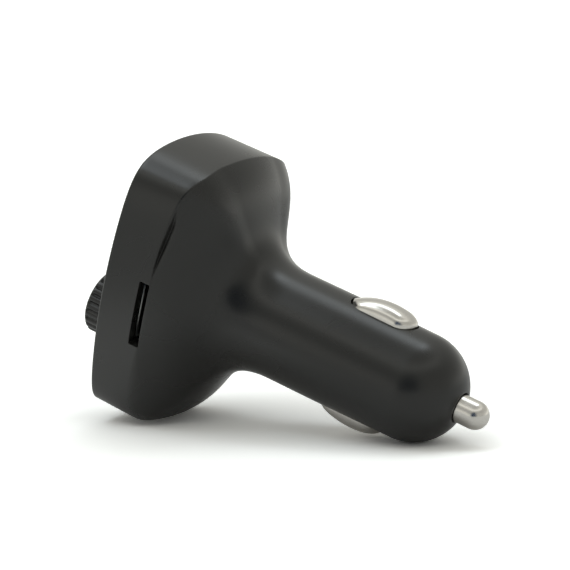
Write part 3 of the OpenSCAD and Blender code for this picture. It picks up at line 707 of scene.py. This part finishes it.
def make_fascia(material):
    """The flat front with softened edges: the lens's seat, two socket holes, the knob's recess and the
    microphone's hole, with the screw posts and the microphone's collar behind it."""
    sheet = Sheet()

    def rim(grow):
        a = full_turn(COLUMNS)
        r = outline_r(a) - RIM_WALL - FASCIA_GAP - grow
        return zip(r * np.sin(a), r * np.cos(a))

    def wall(outline, depth):
        loops = [sheet.loop(x, outline(-grow)) for x, grow in edge_rows(FASCIA_ROUND)]
        return loops + [sheet.loop(depth, outline(0))]

    seat = (LENS_W + 2 * PLAY, LENS_H + 2 * PLAY, LENS_CORNER_R + PLAY)
    window = (LENS_W - 2 * WINDOW_BORDER, LENS_H - 2 * WINDOW_BORDER, PLAY)
    socket = (USB_W + 2 * PLAY, USB_H + 2 * PLAY, USB_CORNER_R + PLAY)
    walls = [
        wall(rim, FASCIA_T),
        wall(lambda grow: rounded_rect(LENS_PLACE, *seat, grow), LENS_T)
        + [sheet.loop(x, rounded_rect(LENS_PLACE, *window)) for x in (LENS_T, FASCIA_T)],
        wall(lambda grow: circle(KNOB_PLACE, KNOB_R + RECESS_GAP + grow), RECESS_DEPTH)
        + [sheet.loop(x, circle(KNOB_PLACE, BUSHING_R + PLAY)) for x in (RECESS_DEPTH, FASCIA_T)],
        wall(lambda grow: circle(MIC_PLACE, MIC_HOLE_R + grow, 32), FASCIA_T),
        wall(lambda grow: rounded_rect((-USB_Y, USB_Z), *socket, grow), FASCIA_T),
        wall(lambda grow: rounded_rect((USB_Y, USB_Z), *socket, grow), FASCIA_T),
    ]
    for loops in walls:
        sheet.skin(loops)
    sheet.fill([loops[0] for loops in walls])
    sheet.fill([loops[-1] for loops in walls])
    sunk = FASCIA_T - PLAY / 2
    hole_x = BOARD_X - SCREW_DEPTH
    for place in POST_PLACES:
        sheet.lathe([(sunk, 0), (sunk, POST_R), (BOARD_X, POST_R), (BOARD_X, SCREW_R),
                     (hole_x, SCREW_R), (hole_x, 0)], POST_SIDES, place)
    collar = MIC_R + PLAY
    top = FASCIA_T + MIC_T
    sheet.lathe([(sunk, collar), (sunk, collar + MIC_COLLAR), (top, collar + MIC_COLLAR), (top, collar)],
                POST_SIDES, MIC_PLACE, closed=True)
    fascia = new_object("front_plate", sheet, material, "transmitter")
    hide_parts("front_fascia")


SEGMENT_W = 0.62
DIGIT_W = 3.0
DIGIT_H = 5.6
DIGIT_PITCH = 4.7
DIGIT_SLANT = 0.12
SEGMENT_GAP = 0.12
SEGMENT_PROUD = 0.006


def segment_outline(a, b):
    """A bar with pointed ends from a to b."""
    a = Vector(a)
    b = Vector(b)
    run = (b - a).normalized()
    across = Vector((-run.y, run.x)) * SEGMENT_W / 2
    a = a + run * SEGMENT_GAP
    b = b - run * SEGMENT_GAP
    lead = run * SEGMENT_W / 2
    return [a, a + lead + across, b - lead + across, b, b - lead - across, a + lead - across]


def make_lens(material, segment_material):
    """The dark lens with a soft edge, and the faint unlit bars of four digits just under its gloss."""
    sheet = Sheet()
    rows = edge_rows(FASCIA_ROUND) + [(LENS_T, 0)]
    sheet.panel(rows, lambda grow: rounded_rect(LENS_PLACE, LENS_W, LENS_H, LENS_CORNER_R, grow))
    lens = new_object("display_window", sheet, material, "transmitter")
    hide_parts("display_lens")
    bars = Sheet()
    w, h = DIGIT_W / 2, DIGIT_H / 2
    corners = {"tl": (-w, h), "tr": (w, h), "ml": (-w, 0), "mr": (w, 0), "bl": (-w, -h), "br": (w, -h)}
    pairs = ("tl tr", "ml mr", "bl br", "tl ml", "tr mr", "ml bl", "mr br")

    def bar(points):
        placed = [(-(y + DIGIT_SLANT * z), LENS_Z + z) for y, z in points]
        bars.sweep([[(x, y, z) for y, z in placed] for x in (-SEGMENT_PROUD, SEGMENT_PROUD)])

    for k in range(4):
        middle = (k - 1.5) * DIGIT_PITCH
        for pair in pairs:
            a, b = (corners[name] for name in pair.split())
            bar([(p.x + middle, p.y) for p in segment_outline(a, b)])
    half = SEGMENT_W / 2
    bar([(DIGIT_PITCH + half * y, half * z - h) for y, z in ((-1, -1), (1, -1), (1, 1), (-1, 1))])
    new_object("display_bars", bars, segment_material, "transmitter")


SOCKET_LIP = 0.12
TONGUE_RISE = 0.9
TONGUE_T = 1.9
PIN_W = 1.0
PIN_T = 0.15
PIN_PITCH = 2.5
PIN_FRONT = 1.2
PIN_END = 2.5
PIN_ROUND = 0.06
PIN_SKIN = 0.02


def make_usb(side, name, material, contact_material):
    """A socket's folded sheet shell with round corners, and the four contacts under its tongue."""
    centre = (side * USB_Y, USB_Z)
    lip = USB_FRONT + SOCKET_LIP
    back = USB_FRONT + USB_DEPTH
    rows = [(back, 0), (lip, 0), (USB_FRONT, -SOCKET_LIP), (USB_FRONT, SOCKET_LIP - USB_SHEET),
            (lip, -USB_SHEET), (back, -USB_SHEET)]
    sheet = Sheet()
    loops = [sheet.loop(x, rounded_rect(centre, USB_W, USB_H, USB_CORNER_R, grow)) for x, grow in rows]
    sheet.skin(loops, closed=True)
    shell = new_object("socket_shell_" + name, sheet, material, "transmitter")
    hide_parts("usb_shell_" + name)
    contacts = Sheet()
    z = USB_Z + TONGUE_RISE - TONGUE_T / 2 - PIN_T / 2
    start = USB_FRONT + PIN_FRONT + PIN_T
    rows = [(start - PIN_SKIN, -0.05), (start + 0.1, PIN_SKIN), (back - PIN_END, PIN_SKIN)]
    for k in (-1.5, -0.5, 0.5, 1.5):
        middle = (centre[0] + PIN_PITCH * k, z)
        contacts.panel(rows, lambda grow: rounded_rect(middle, PIN_W, PIN_T, PIN_ROUND, grow))
    new_object("socket_contacts_" + name, contacts, contact_material, "transmitter")


CARD_SHEET = 0.2
CARD_SIDE_GAP = 0.4
CARD_DEPTH = 9.2
CARD_RECESS = WALL + 0.5
CARD_LIP = ((0.06, 0.34), (0.13, 0.35), (0.26, 0.25), (0.37, 0.11),
            (0.38, 0), (0.3, -0.1), (0.2, -0.24))


def make_card_shell(material):
    """The card socket's folded sheet behind the slot, with a rolled lip on its front edge."""
    wall_y = -(HEAD_HALF_W - SIDE_BOW_R + SIDE_BOW_R * math.cos(SIDE_ANGLE))
    start = SLOT_X - SLOT_W / 2
    half = SLOT_LEN / 2 - CARD_SIDE_GAP
    deep = CARD_RECESS + CARD_DEPTH
    sheet = Sheet()

    def place(x, depth, along):
        y = wall_y + depth * math.cos(SIDE_ANGLE) - along * math.sin(SIDE_ANGLE)
        return (start + x, y, SLOT_Z + depth * math.sin(SIDE_ANGLE) + along * math.cos(SIDE_ANGLE))

    def strip(outline, edges):
        sheet.sweep([[place(x, depth, along) for x, depth in outline] for along in edges])

    lip = [(x, CARD_RECESS - forward) for x, forward in CARD_LIP]
    strip([(0.0, deep), (0.0, CARD_RECESS)] + lip + [(CARD_SHEET, deep)], (-half, half))
    for side in (-1, 1):
        strip([(CARD_SHEET, deep), (CARD_SHEET, CARD_RECESS), (SLOT_W, CARD_RECESS), (SLOT_W, deep)],
              (side * half, side * (half - CARD_SHEET)))
    strip([(0.0, deep), (SLOT_W, deep), (SLOT_W, deep - CARD_SHEET), (0.0, deep - CARD_SHEET)], (-half, half))
    shell = new_object("card_cage", sheet, material, "transmitter")
    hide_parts("card_socket_shell")


# Knob

KNOB_LIP_TURN = 150
CAP_SEAT_GAP = 0.05
CAP_DISH = 0.06


def make_knob(material, face_material):
    """The ribbed knob with a soft front edge, and the polished cap set into its end."""
    front = -KNOB_OUT
    seat = CAP_R + CAP_SEAT_GAP
    floor = front + CAP_T
    hollow = KNOB_BACK - KNOB_HOLLOW
    soft = 0.18
    lip = 0.16
    rows = [(hollow, 0, 0), (hollow, KNOB_HOLLOW_R, 0), (KNOB_BACK, KNOB_HOLLOW_R, 0)]
    rows += [(x, r, 1) for x, r in arc_rows(KNOB_BACK - soft, KNOB_R - soft, soft, 0, 90, 4)]
    rows += [(x, KNOB_R, 1) for x in np.linspace(KNOB_BACK - 1, front + KNOB_EDGE_R + 0.4, 8)]
    edge = arc_rows(front + KNOB_EDGE_R, KNOB_R - KNOB_EDGE_R, KNOB_EDGE_R, 90, KNOB_LIP_TURN, 8)
    rows += [(x, r, max(0, 1 - k / (len(edge) - 2))) for k, (x, r) in enumerate(edge)]
    rim = KNOB_R - KNOB_EDGE_R + KNOB_EDGE_R * math.sin(math.radians(KNOB_LIP_TURN))
    rows += [(x, r, 0) for x, r in arc_rows(front + lip, rim - PLAY, lip, KNOB_LIP_TURN, 180, 3)]
    rows += [(front, seat + lip, 0), (front + PLAY, seat, 0), (floor, seat, 0), (floor, 0, 0)]
    sheet = Sheet()
    sheet.lathe([row[:2] for row in rows], KNOB_RIBS * 16, KNOB_PLACE, [row[2] for row in rows])
    grip = new_object("knob_grip", sheet, material, "control_knob")
    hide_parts("knob")
    rows = [(floor, 0), (floor, CAP_R)]
    rows += arc_rows(front + lip, CAP_R - lip, lip, 90, 180, 5)
    rows += [(front + CAP_DISH / 2, CAP_R * 0.6), (front + CAP_DISH, CAP_R * 0.25), (front + CAP_DISH, 0)]
    sheet = Sheet()
    sheet.lathe(rows, 128, KNOB_PLACE)
    cap = new_object("knob_end_disc", sheet, face_material, "control_knob")
    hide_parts("knob_cap")


# Contacts

FLANGE_T = 1.2
FLANGE_GAP = 0.05
STEM_R = 1.2
STEM_LEN = 1.0
FLANGE_BACK = SHOULDER_X - FLANGE_GAP - FLANGE_T
TIP_SHORTER = 0.25


def make_tip(material):
    """The sprung centre contact: a stem, a flange inside the nose, and the polished round-ended pin."""
    flange_front = SHOULDER_X - FLANGE_GAP
    flange_r = CHAMBER_R - PLAY
    stem_back = FLANGE_BACK - STEM_LEN
    soft = 0.15
    rows = [(stem_back, 0)]
    rows += arc_rows(stem_back + soft, STEM_R - soft, soft, 180, 90, 3)
    rows += [(FLANGE_BACK, STEM_R)]
    rows += arc_rows(FLANGE_BACK + soft, flange_r - soft, soft, 180, 90, 3)
    rows += arc_rows(flange_front - soft, flange_r - soft, soft, 90, 0, 3)
    dome_x = TIP_DOME_X - TIP_SHORTER
    rows += [(x, TIP_R) for x in np.linspace(flange_front, dome_x, 12)[:-1]]
    rows += arc_rows(dome_x, 0, TIP_R, 90, 0, 24)[:-1]
    rows += [(dome_x + TIP_R, 0)]
    sheet = Sheet()
    sheet.lathe(rows, 128)
    tip = new_object("centre_contact_pin", sheet, material, "centre_contact")
    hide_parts("tip_contact")


CONTACT_HALF = WINDOW_LEN / 2 - CONTACT_GAP
CONTACT_HALF_W = WINDOW_W / 2 - CONTACT_GAP
CONTACT_FOOT = 6.87
CONTACT_BASE = BARREL_R - 0.75
CONTACT_SQUARE = 0.8
CONTACT_END_SHARE = 0.985
CONTACT_RINGS = 65
CONTACT_COLUMNS = 41


def crest(x):
    """Height of a side contact's crest over the barrel, at x from the window's middle."""
    if x > CONTACT_PEAK:
        s = (x - CONTACT_PEAK) / (CONTACT_HALF - CONTACT_PEAK)
        return CONTACT_PROUD * math.sqrt(max(0, 1 - s * s))
    s = (CONTACT_PEAK - x) / (CONTACT_HALF + CONTACT_PEAK)
    return CONTACT_PROUD * max(0, 1 - s * s)


def make_side_contact(name, node, body, up, material):
    """A polished canoe-shaped contact with a long crown."""
    rings = []
    for s in np.linspace(-1, 1, CONTACT_RINGS):
        x = CONTACT_HALF * math.sin(math.pi / 2 * s * CONTACT_END_SHARE)
        past = max(0, abs(x) - (CONTACT_HALF - CONTACT_HALF_W)) / CONTACT_HALF_W
        half_w = CONTACT_HALF_W * math.sqrt(max(0, 1 - past**2))
        crown = BARREL_R + crest(x) - CONTACT_BASE
        ring = [(WINDOW_X + x, -half_w, up * CONTACT_FOOT)]
        for q in np.linspace(0, math.pi, CONTACT_COLUMNS):
            c = math.cos(q)
            y = -half_w * math.copysign(abs(c) ** CONTACT_SQUARE, c)
            z = CONTACT_BASE + crown * math.sin(q) ** CONTACT_SQUARE
            ring.append((WINDOW_X + x, y, up * z))
        ring.append((WINDOW_X + x, half_w, up * CONTACT_FOOT))
        rings.append(ring)
    sheet = Sheet()
    sheet.sweep(rings)
    contact = new_object(name, sheet, material, body)
    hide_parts(node)


# Springs inside the plug

POWER_T = 1.2
POCKET_ROOF = 9.05
LEAF_W = 3.4
LEAF_HALF = 3.8
LEAF_T = 0.3
LEAF_FULLNESS = 1.6
WIRE_R = 0.25


def make_leaf_spring(name, node, up, material):
    """A bowed leaf on the power board, under its contact."""
    rings = []
    for s in np.linspace(-1, 1, 33):
        height = POWER_T / 2 + (POCKET_ROOF - LEAF_T - POWER_T / 2) * (1 - abs(s) ** LEAF_FULLNESS)
        x_top = WINDOW_X + LEAF_HALF * s
        x_low = x_top - LEAF_T * np.sign(s)
        half = LEAF_W / 2
        rings.append([(x_low, -half, up * height), (x_low, half, up * height),
                      (x_top, half, up * (height + LEAF_T)), (x_top, -half, up * (height + LEAF_T))])
    sheet = Sheet()
    sheet.sweep(rings)
    spring = new_object(name, sheet, material, "transmitter")
    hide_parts(node)
    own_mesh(spring)


def make_tip_spring(material):
    """The coil behind the centre contact's flange."""
    turns = 4
    steps = 24
    start = BORE_END + PLAY / 2 + WIRE_R
    end = FLANGE_BACK - PLAY / 2 - WIRE_R
    coil_r = CHAMBER_R - PLAY - 2 * WIRE_R
    rings = []
    for k in range(turns * steps + 1):
        turn = 2 * math.pi * k / steps
        x = start + (end - start) * k / (turns * steps)
        ring = []
        for q in full_turn(10):
            reach = coil_r + WIRE_R * math.cos(q)
            ring.append((x - WIRE_R * math.sin(q), reach * math.sin(turn), reach * math.cos(turn)))
        rings.append(ring)
    sheet = Sheet()
    sheet.sweep(rings)
    spring = new_object("centre_contact_coil", sheet, material, "transmitter")
    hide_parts("tip_spring")
    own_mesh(spring)


# Materials


class Nodes:
    """A node tree, with short calls for what finishes and surroundings share."""

    def __init__(self, owner):
        owner.use_nodes = True
        self.tree = owner.node_tree

    def feed(self, socket, value):
        """Gives a socket a plain value or another node's output."""
        if isinstance(value, bpy.types.NodeSocket):
            self.tree.links.new(value, socket)
        else:
            socket.default_value = value

    def node(self, kind, inputs, operation=None):
        """A new node: inputs holds what its sockets get, by their names or numbers."""
        made = self.tree.nodes.new("ShaderNode" + kind)
        if operation:
            made.operation = operation
        for name, value in inputs.items():
            self.feed(made.inputs[name], value)
        return made

    def spread(self, value, low, high, out_low, out_high, kind="LINEAR"):
        """A value from low to high, turned into one from out_low to out_high."""
        made = self.tree.nodes.new("ShaderNodeMapRange")
        made.interpolation_type = kind
        numbers = {"Value": value, "From Min": low, "From Max": high, "To Min": out_low, "To Max": out_high}
        for name, number in numbers.items():
            self.feed(made.inputs[name], number)
        return made.outputs["Result"]

    def mix(self, factor, low, high):
        """A colour between low and high."""
        made = self.tree.nodes.new("ShaderNodeMix")
        made.data_type = "RGBA"
        for name, value in {"Factor": factor, "A": low, "B": high}.items():
            self.feed(made.inputs[name], value)
        return made.outputs["Result"]

    def seen(self, others, camera):
        """A colour for the camera's own rays, and another for all others."""
        return self.mix(self.node("LightPath", {}).outputs["Is Camera Ray"], others, camera)


class Look(Nodes):
    """A material on a Principled shader."""

    def __init__(self, name, color, metallic=0.0, roughness=0.5, specular=0.5):
        self.material = bpy.data.materials.new(name)
        super().__init__(self.material)
        self.shader = self.tree.nodes["Principled BSDF"]
        self.vary("Base Color", (*color, 1))
        self.vary("Metallic", metallic)
        self.vary("Roughness", roughness)
        self.vary("Specular IOR Level", specular)
        self.place = self.node("TexCoord", {}).outputs["Object"]

    def vary(self, socket, value):
        self.feed(self.shader.inputs[socket], value)

    def noise(self, scale, detail, roughness=0.5):
        inputs = {"Vector": self.place, "Scale": scale, "Detail": detail, "Roughness": roughness}
        return self.node("TexNoise", inputs).outputs["Fac"]

    def tint(self, noise, low, high):
        self.vary("Base Color", self.mix(self.noise(*noise), (*low, 1), (*high, 1)))

    def gloss(self, noise, *numbers):
        self.vary("Roughness", self.spread(self.noise(*noise), *numbers))

    def bump(self, noise, distance, strength):
        made = self.node("Bump", {"Height": self.noise(*noise), "Strength": strength, "Distance": distance})
        self.vary("Normal", made.outputs["Normal"])


def shell_look():
    """Satin black moulded plastic: a fine mould grain and slow drifts in colour and gloss."""
    look = Look("satin_black_plastic", (0.0108, 0.0108, 0.0098), roughness=0.29)
    look.tint((140, 3), (0.0102, 0.0103, 0.0094), (0.0114, 0.0113, 0.0102))
    look.gloss((60, 2), 0.1, 0.9, 0.23, 0.34)
    look.bump((9000, 2, 0.6), 0.000004, 0.35)
    return look.material


def knob_look():
    look = Look("knob_black_plastic", (0.008, 0.008, 0.008), roughness=0.25)
    look.tint((300, 3), (0.007, 0.007, 0.007), (0.0095, 0.0094, 0.0088))
    look.gloss((900, 3), 0.2, 0.8, 0.16, 0.28)
    look.bump((7000, 2), 0.000004, 0.4)
    return look.material


def polished_black_look(name):
    look = Look(name, (0.006, 0.006, 0.007), roughness=0.08)
    look.gloss((400, 4), 0.3, 0.8, 0.05, 0.14)
    return look.material


def nickel_look():
    """Polished nickel plate with fine polishing marks and slow cloudy changes in gloss."""
    look = Look("polished_nickel", (0.66, 0.635, 0.6), metallic=1.0, roughness=0.2)
    look.tint((350, 3), (0.61, 0.59, 0.55), (0.71, 0.685, 0.65))
    look.gloss((1500, 4), 0.2, 0.8, 0.16, 0.27)
    look.bump((2500, 3), 0.000006, 0.25)
    return look.material


def plain_look(name, color, metallic, roughness, grain):
    """A finish with a light mottle in colour and gloss, and a grain of that scale."""
    look = Look(name, color, metallic=metallic, roughness=roughness)
    darker = tuple(c * 0.86 for c in color)
    lighter = tuple(min(1, c * 1.1) for c in color)
    look.tint((grain / 6, 3), darker, lighter)
    look.gloss((grain / 3, 3), 0.3, 0.7, roughness * 0.85, min(1, roughness * 1.2))
    look.bump((grain, 2), 0.000005, 0.3)
    return look.material


PLAIN_LOOKS = {
    "display_body": ((0.11, 0.11, 0.115), 0.0, 0.45, 4000),
    "steel": ((0.55, 0.55, 0.53), 1.0, 0.3, 5000),
    "spring_steel": ((0.5, 0.5, 0.49), 1.0, 0.28, 6000),
    "port_metal": ((0.66, 0.65, 0.62), 1.0, 0.27, 4000),
    "white_plastic": ((0.72, 0.72, 0.69), 0.0, 0.38, 4000),
    "encoder_metal": ((0.55, 0.55, 0.54), 1.0, 0.35, 3000),
    "board_green": ((0.02, 0.12, 0.05), 0.0, 0.3, 2500),
    "black_nylon": ((0.018, 0.018, 0.018), 0.0, 0.5, 4000),
    "mic_can": ((0.6, 0.6, 0.58), 1.0, 0.3, 4000),
    "chip_black": ((0.02, 0.02, 0.021), 0.0, 0.55, 5000),
    "ferrite": ((0.07, 0.07, 0.072), 0.0, 0.6, 4000),
    "capacitor_sleeve": ((0.03, 0.035, 0.13), 0.0, 0.3, 3000),
    "fuse_green": ((0.03, 0.15, 0.05), 0.0, 0.4, 3000),
    "seat_brass": ((0.72, 0.56, 0.3), 1.0, 0.3, 4000),
    "lead_red": ((0.4, 0.02, 0.02), 0.0, 0.4, 3000),
    "leaf_bronze": ((0.62, 0.43, 0.24), 1.0, 0.3, 4000),
}


def dress_cad_nodes(finishes):
    """Gives every CAD node that still shows the finish of its slot."""
    slots = {s["node"]: s["material_slot"] for s in frame["record"]["subparts"]}
    for name, obj in frame["nodes"].items():
        material = finishes.get(slots[name])
        if material:
            obj.data.materials.clear()
            obj.data.materials.append(material)


# Stage: camera, surroundings and table

CAMERA_TURN = 28.966
CAMERA_RISE = 9.226
CAMERA_ROLL = -1.171
CAMERA_SIDE = -0.4485
CAMERA_LIFT = 7.507
CAMERA_AIM_X = 30.0
FOCAL_PIXELS = 2396.0
PIXELS_PER_MM = 5.35
FRAME_PIXELS = 570
SENSOR = 36.0


def direction(rise, turn):
    """A unit vector: rise over the horizon, turned from -Y towards +X, in degrees."""
    rise, turn = math.radians(rise), math.radians(turn)
    return Vector((math.cos(rise) * math.sin(turn), -math.cos(rise) * math.cos(turn), math.sin(rise)))


def camera_axes():
    """Right, up and back of the camera, in the row frame."""
    turn, roll = math.radians(CAMERA_TURN), math.radians(CAMERA_ROLL)
    back = direction(CAMERA_RISE, CAMERA_TURN)
    flat = Vector((math.cos(turn), math.sin(turn), 0))
    steep = back.cross(flat)
    right = math.cos(roll) * flat + math.sin(roll) * steep
    up = math.cos(roll) * steep - math.sin(roll) * flat
    return right, up, back


def make_camera():
    right, up, back = camera_axes()
    aim = LAY @ Vector((CAMERA_AIM_X, 0, 0))
    place = aim + MM * (CAMERA_SIDE * right + CAMERA_LIFT * up + FOCAL_PIXELS / PIXELS_PER_MM * back)
    data = bpy.data.cameras.new("camera")
    data.sensor_width = SENSOR
    data.lens = FOCAL_PIXELS * SENSOR / FRAME_PIXELS
    data.clip_start = 0.01
    data.clip_end = 20
    camera = link_object("camera", data)
    camera.matrix_world = Matrix.Translation(place) @ Matrix((right, up, back)).transposed().to_4x4()
    bpy.context.scene.camera = camera


UPWARD = (0, 0, 1)


class World(Nodes):
    """The surroundings that the gloss shows: a pale room, softboxes overhead and the dark of the camera."""

    def __init__(self):
        world = bpy.data.worlds.new("studio")
        bpy.context.scene.world = world
        super().__init__(world)
        self.background = self.tree.nodes["Background"]
        self.look = self.node("TexCoord", {}).outputs["Generated"]

    def math(self, kind, *values):
        return self.node("Math", dict(enumerate(values)), kind).outputs[0]

    def towards(self, vector):
        """The cosine between the view's direction and a vector."""
        return self.node("VectorMath", {0: self.look, 1: vector}, "DOT_PRODUCT").outputs["Value"]

    def ramp(self, *numbers):
        return self.spread(*numbers, kind="SMOOTHSTEP")

    def patch(self, rise, turn, inner, outer, strength):
        """A round patch that is strength bright within inner degrees and gone at outer degrees."""
        cosine = self.towards(direction(rise, turn))
        return self.ramp(cosine, math.cos(math.radians(outer)), math.cos(math.radians(inner)), 0, strength)

    def levels(self, height, stops):
        """Brightness by height: stops are pairs of degrees over the horizon and brightness, up to 2."""
        made = self.node("ValToRGB", {"Fac": height})
        made.color_ramp.interpolation = "B_SPLINE"
        elements = made.color_ramp.elements
        while len(elements) < len(stops):
            elements.new(0.5)
        for element, (rise, level) in zip(elements, stops):
            element.position = rise / 180 + 0.5
            element.color = (level / 2, level / 2, level / 2, 1)
        return self.math("MULTIPLY", made.outputs["Color"], 2)

    def softbox(self, across, back, soft, strength):
        """A level softbox overhead, in units of its height: its reach in X and in Y, with soft edges."""
        lowest = 0.05
        over = self.math("MAXIMUM", self.towards(UPWARD), lowest)
        level = strength
        for axis, (low, high) in (((1, 0, 0), across), ((0, 1, 0), back)):
            place = self.math("DIVIDE", self.towards(axis), over)
            inside = self.math("MULTIPLY", self.ramp(place, low - soft, low + soft, 0, 1),
                               self.ramp(place, high - soft, high + soft, 1, 0))
            level = self.math("MULTIPLY", inside, level)
        return level

    def add(self, *values):
        total = values[0]
        for value in values[1:]:
            total = self.math("ADD", total, value)
        return total

    def tinted(self, level, color):
        return self.node("VectorMath", {0: color, "Scale": level}, "SCALE").outputs[0]


NEAR_LEVELS = ((-90, 0.3), (-40, 0.55), (-15, 0.56), (0, 0.6), (18, 0.58), (30, 0.46), (40, 0.54),
               (45.5, 1.22), (49.5, 1.22), (55, 0.7), (64, 0.52), (78, 0.46), (90, 0.55))
FAR_LEVELS = ((-90, 0.3), (-30, 0.6), (-14, 1.25), (-4, 1.35), (4, 1.1), (12, 0.66), (22, 0.56),
              (32, 0.56), (42, 0.66), (52, 0.85), (62, 0.9), (75, 0.85), (90, 0.75))
NEAR_TURN = 15
NEAR_FADE = (-0.4, 0.2)

# What World.patch and World.softbox get
SIDE_GLOW = (7, -24, 4, 18, 0.35)
CAMERA_DARK = (10, 14, 12, 29, 0.97)
BACK_GLOW = (71, 154, 2, 9, 1.9)
WIDE_BOX = ((-0.36, 0.2), (0.09, 0.5), 0.1, 1.5)
SIDE_BOX = ((-0.55, -0.18), (-0.54, 0.06), 0.06, 2.7)

WARM = (1.0, 1.0, 0.935)
COOL = (0.9, 0.985, 1.04)
LENS_BLUE = (0.02, 0.045, 0.09)
WHITE = (1, 1, 1, 1)


def make_world():
    world = World()
    rise = world.math("ARCSINE", world.towards(UPWARD))
    height = world.math("ADD", world.math("DIVIDE", rise, math.pi), 0.5)
    facing = world.ramp(world.towards(direction(0, NEAR_TURN)), *NEAR_FADE, 0, 1)
    near = world.math("MULTIPLY", world.levels(height, NEAR_LEVELS), facing)
    far = world.math("MULTIPLY", world.levels(height, FAR_LEVELS), world.math("SUBTRACT", 1, facing))
    dark = world.patch(*CAMERA_DARK)
    room = world.add(near, far, world.patch(*SIDE_GLOW))
    room = world.math("MULTIPLY", room, world.math("SUBTRACT", 1, dark))
    boxes = world.add(world.softbox(*WIDE_BOX), world.softbox(*SIDE_BOX), world.patch(*BACK_GLOW))
    light = world.tinted(room, WARM)
    for level, color in ((boxes, COOL), (dark, LENS_BLUE)):
        light = world.node("VectorMath", {0: light, 1: world.tinted(level, color)}, "ADD").outputs[0]
    world.feed(world.background.inputs["Color"], world.seen(light, WHITE))
    world.background.inputs["Strength"].default_value = 1.0


FLOOR_R = 3.0
FLOOR_SIDES = 96
FLOOR_SEEN = 1.38
FLOOR_TRUE = 0.74
# A painted pool of light on the table at the head's left: a lighter colour there for reflected and bounced
# rays, which lifts the gloss on the head's lower side
FLOOR_PAINTED_GLOW = 1.1
FLOOR_PAINTED_GLOW_PLACE = (-0.052, -0.04, 0)
FLOOR_PAINTED_GLOW_FADE = (0.01, 0.05)


def make_floor():
    """A round white table top. The camera sees it a little over white, so that only its shadows show. Other
    rays see it greyer, with a painted pool of light at the left of the head that the head's gloss reflects."""
    mesh = bpy.data.meshes.new("table_top")
    ring = [(FLOOR_R * math.cos(q), FLOOR_R * math.sin(q), 0) for q in full_turn(FLOOR_SIDES)]
    mesh.from_pydata(ring, [], [tuple(range(FLOOR_SIDES))])
    floor = link_object("table_top", mesh)
    look = Look("white_table", (1, 1, 1), roughness=0.6, specular=0.0)
    # Painted light: for rays other than the camera's, the table is lighter within a few centimetres of a
    # place at the head's left
    place = look.node("NewGeometry", {}).outputs["Position"]
    away = look.node("VectorMath", {0: place, 1: FLOOR_PAINTED_GLOW_PLACE}, "DISTANCE").outputs["Value"]
    level = look.spread(away, *FLOOR_PAINTED_GLOW_FADE, FLOOR_PAINTED_GLOW, FLOOR_TRUE)
    look.vary("Base Color", look.seen(level, (FLOOR_SEEN, FLOOR_SEEN, FLOOR_SEEN, 1)))
    mesh.materials.append(look.material)


make_camera()
make_floor()
make_world()
finishes = {slot: plain_look("finish_" + slot, *values) for slot, values in PLAIN_LOOKS.items()}
dress_cad_nodes(finishes)
black = shell_look()
nickel = nickel_look()
bronze = finishes["leaf_bronze"]
make_housing(black)
make_fascia(black)
make_lens(polished_black_look("smoked_lens"), plain_look("unlit_bars", (0.012, 0.013, 0.013), 0.0, 0.2, 3000))
make_usb(-1, "left", finishes["port_metal"], bronze)
make_usb(1, "right", finishes["port_metal"], bronze)
make_card_shell(plain_look("dull_card_cage", (0.3, 0.31, 0.3), 1.0, 0.36, 1500))
make_knob(knob_look(), polished_black_look("knob_end_gloss"))
make_tip(nickel)
make_side_contact("upper_contact_blade", "side_contact_upper", "upper_contact", 1, nickel)
make_side_contact("lower_contact_blade", "side_contact_lower", "lower_contact", -1, nickel)
make_leaf_spring("upper_contact_leaf", "contact_spring_upper", 1, bronze)
make_leaf_spring("lower_contact_leaf", "contact_spring_lower", -1, bronze)
make_tip_spring(finishes["spring_steel"])
bpy.context.scene.view_settings.view_transform = "Standard"
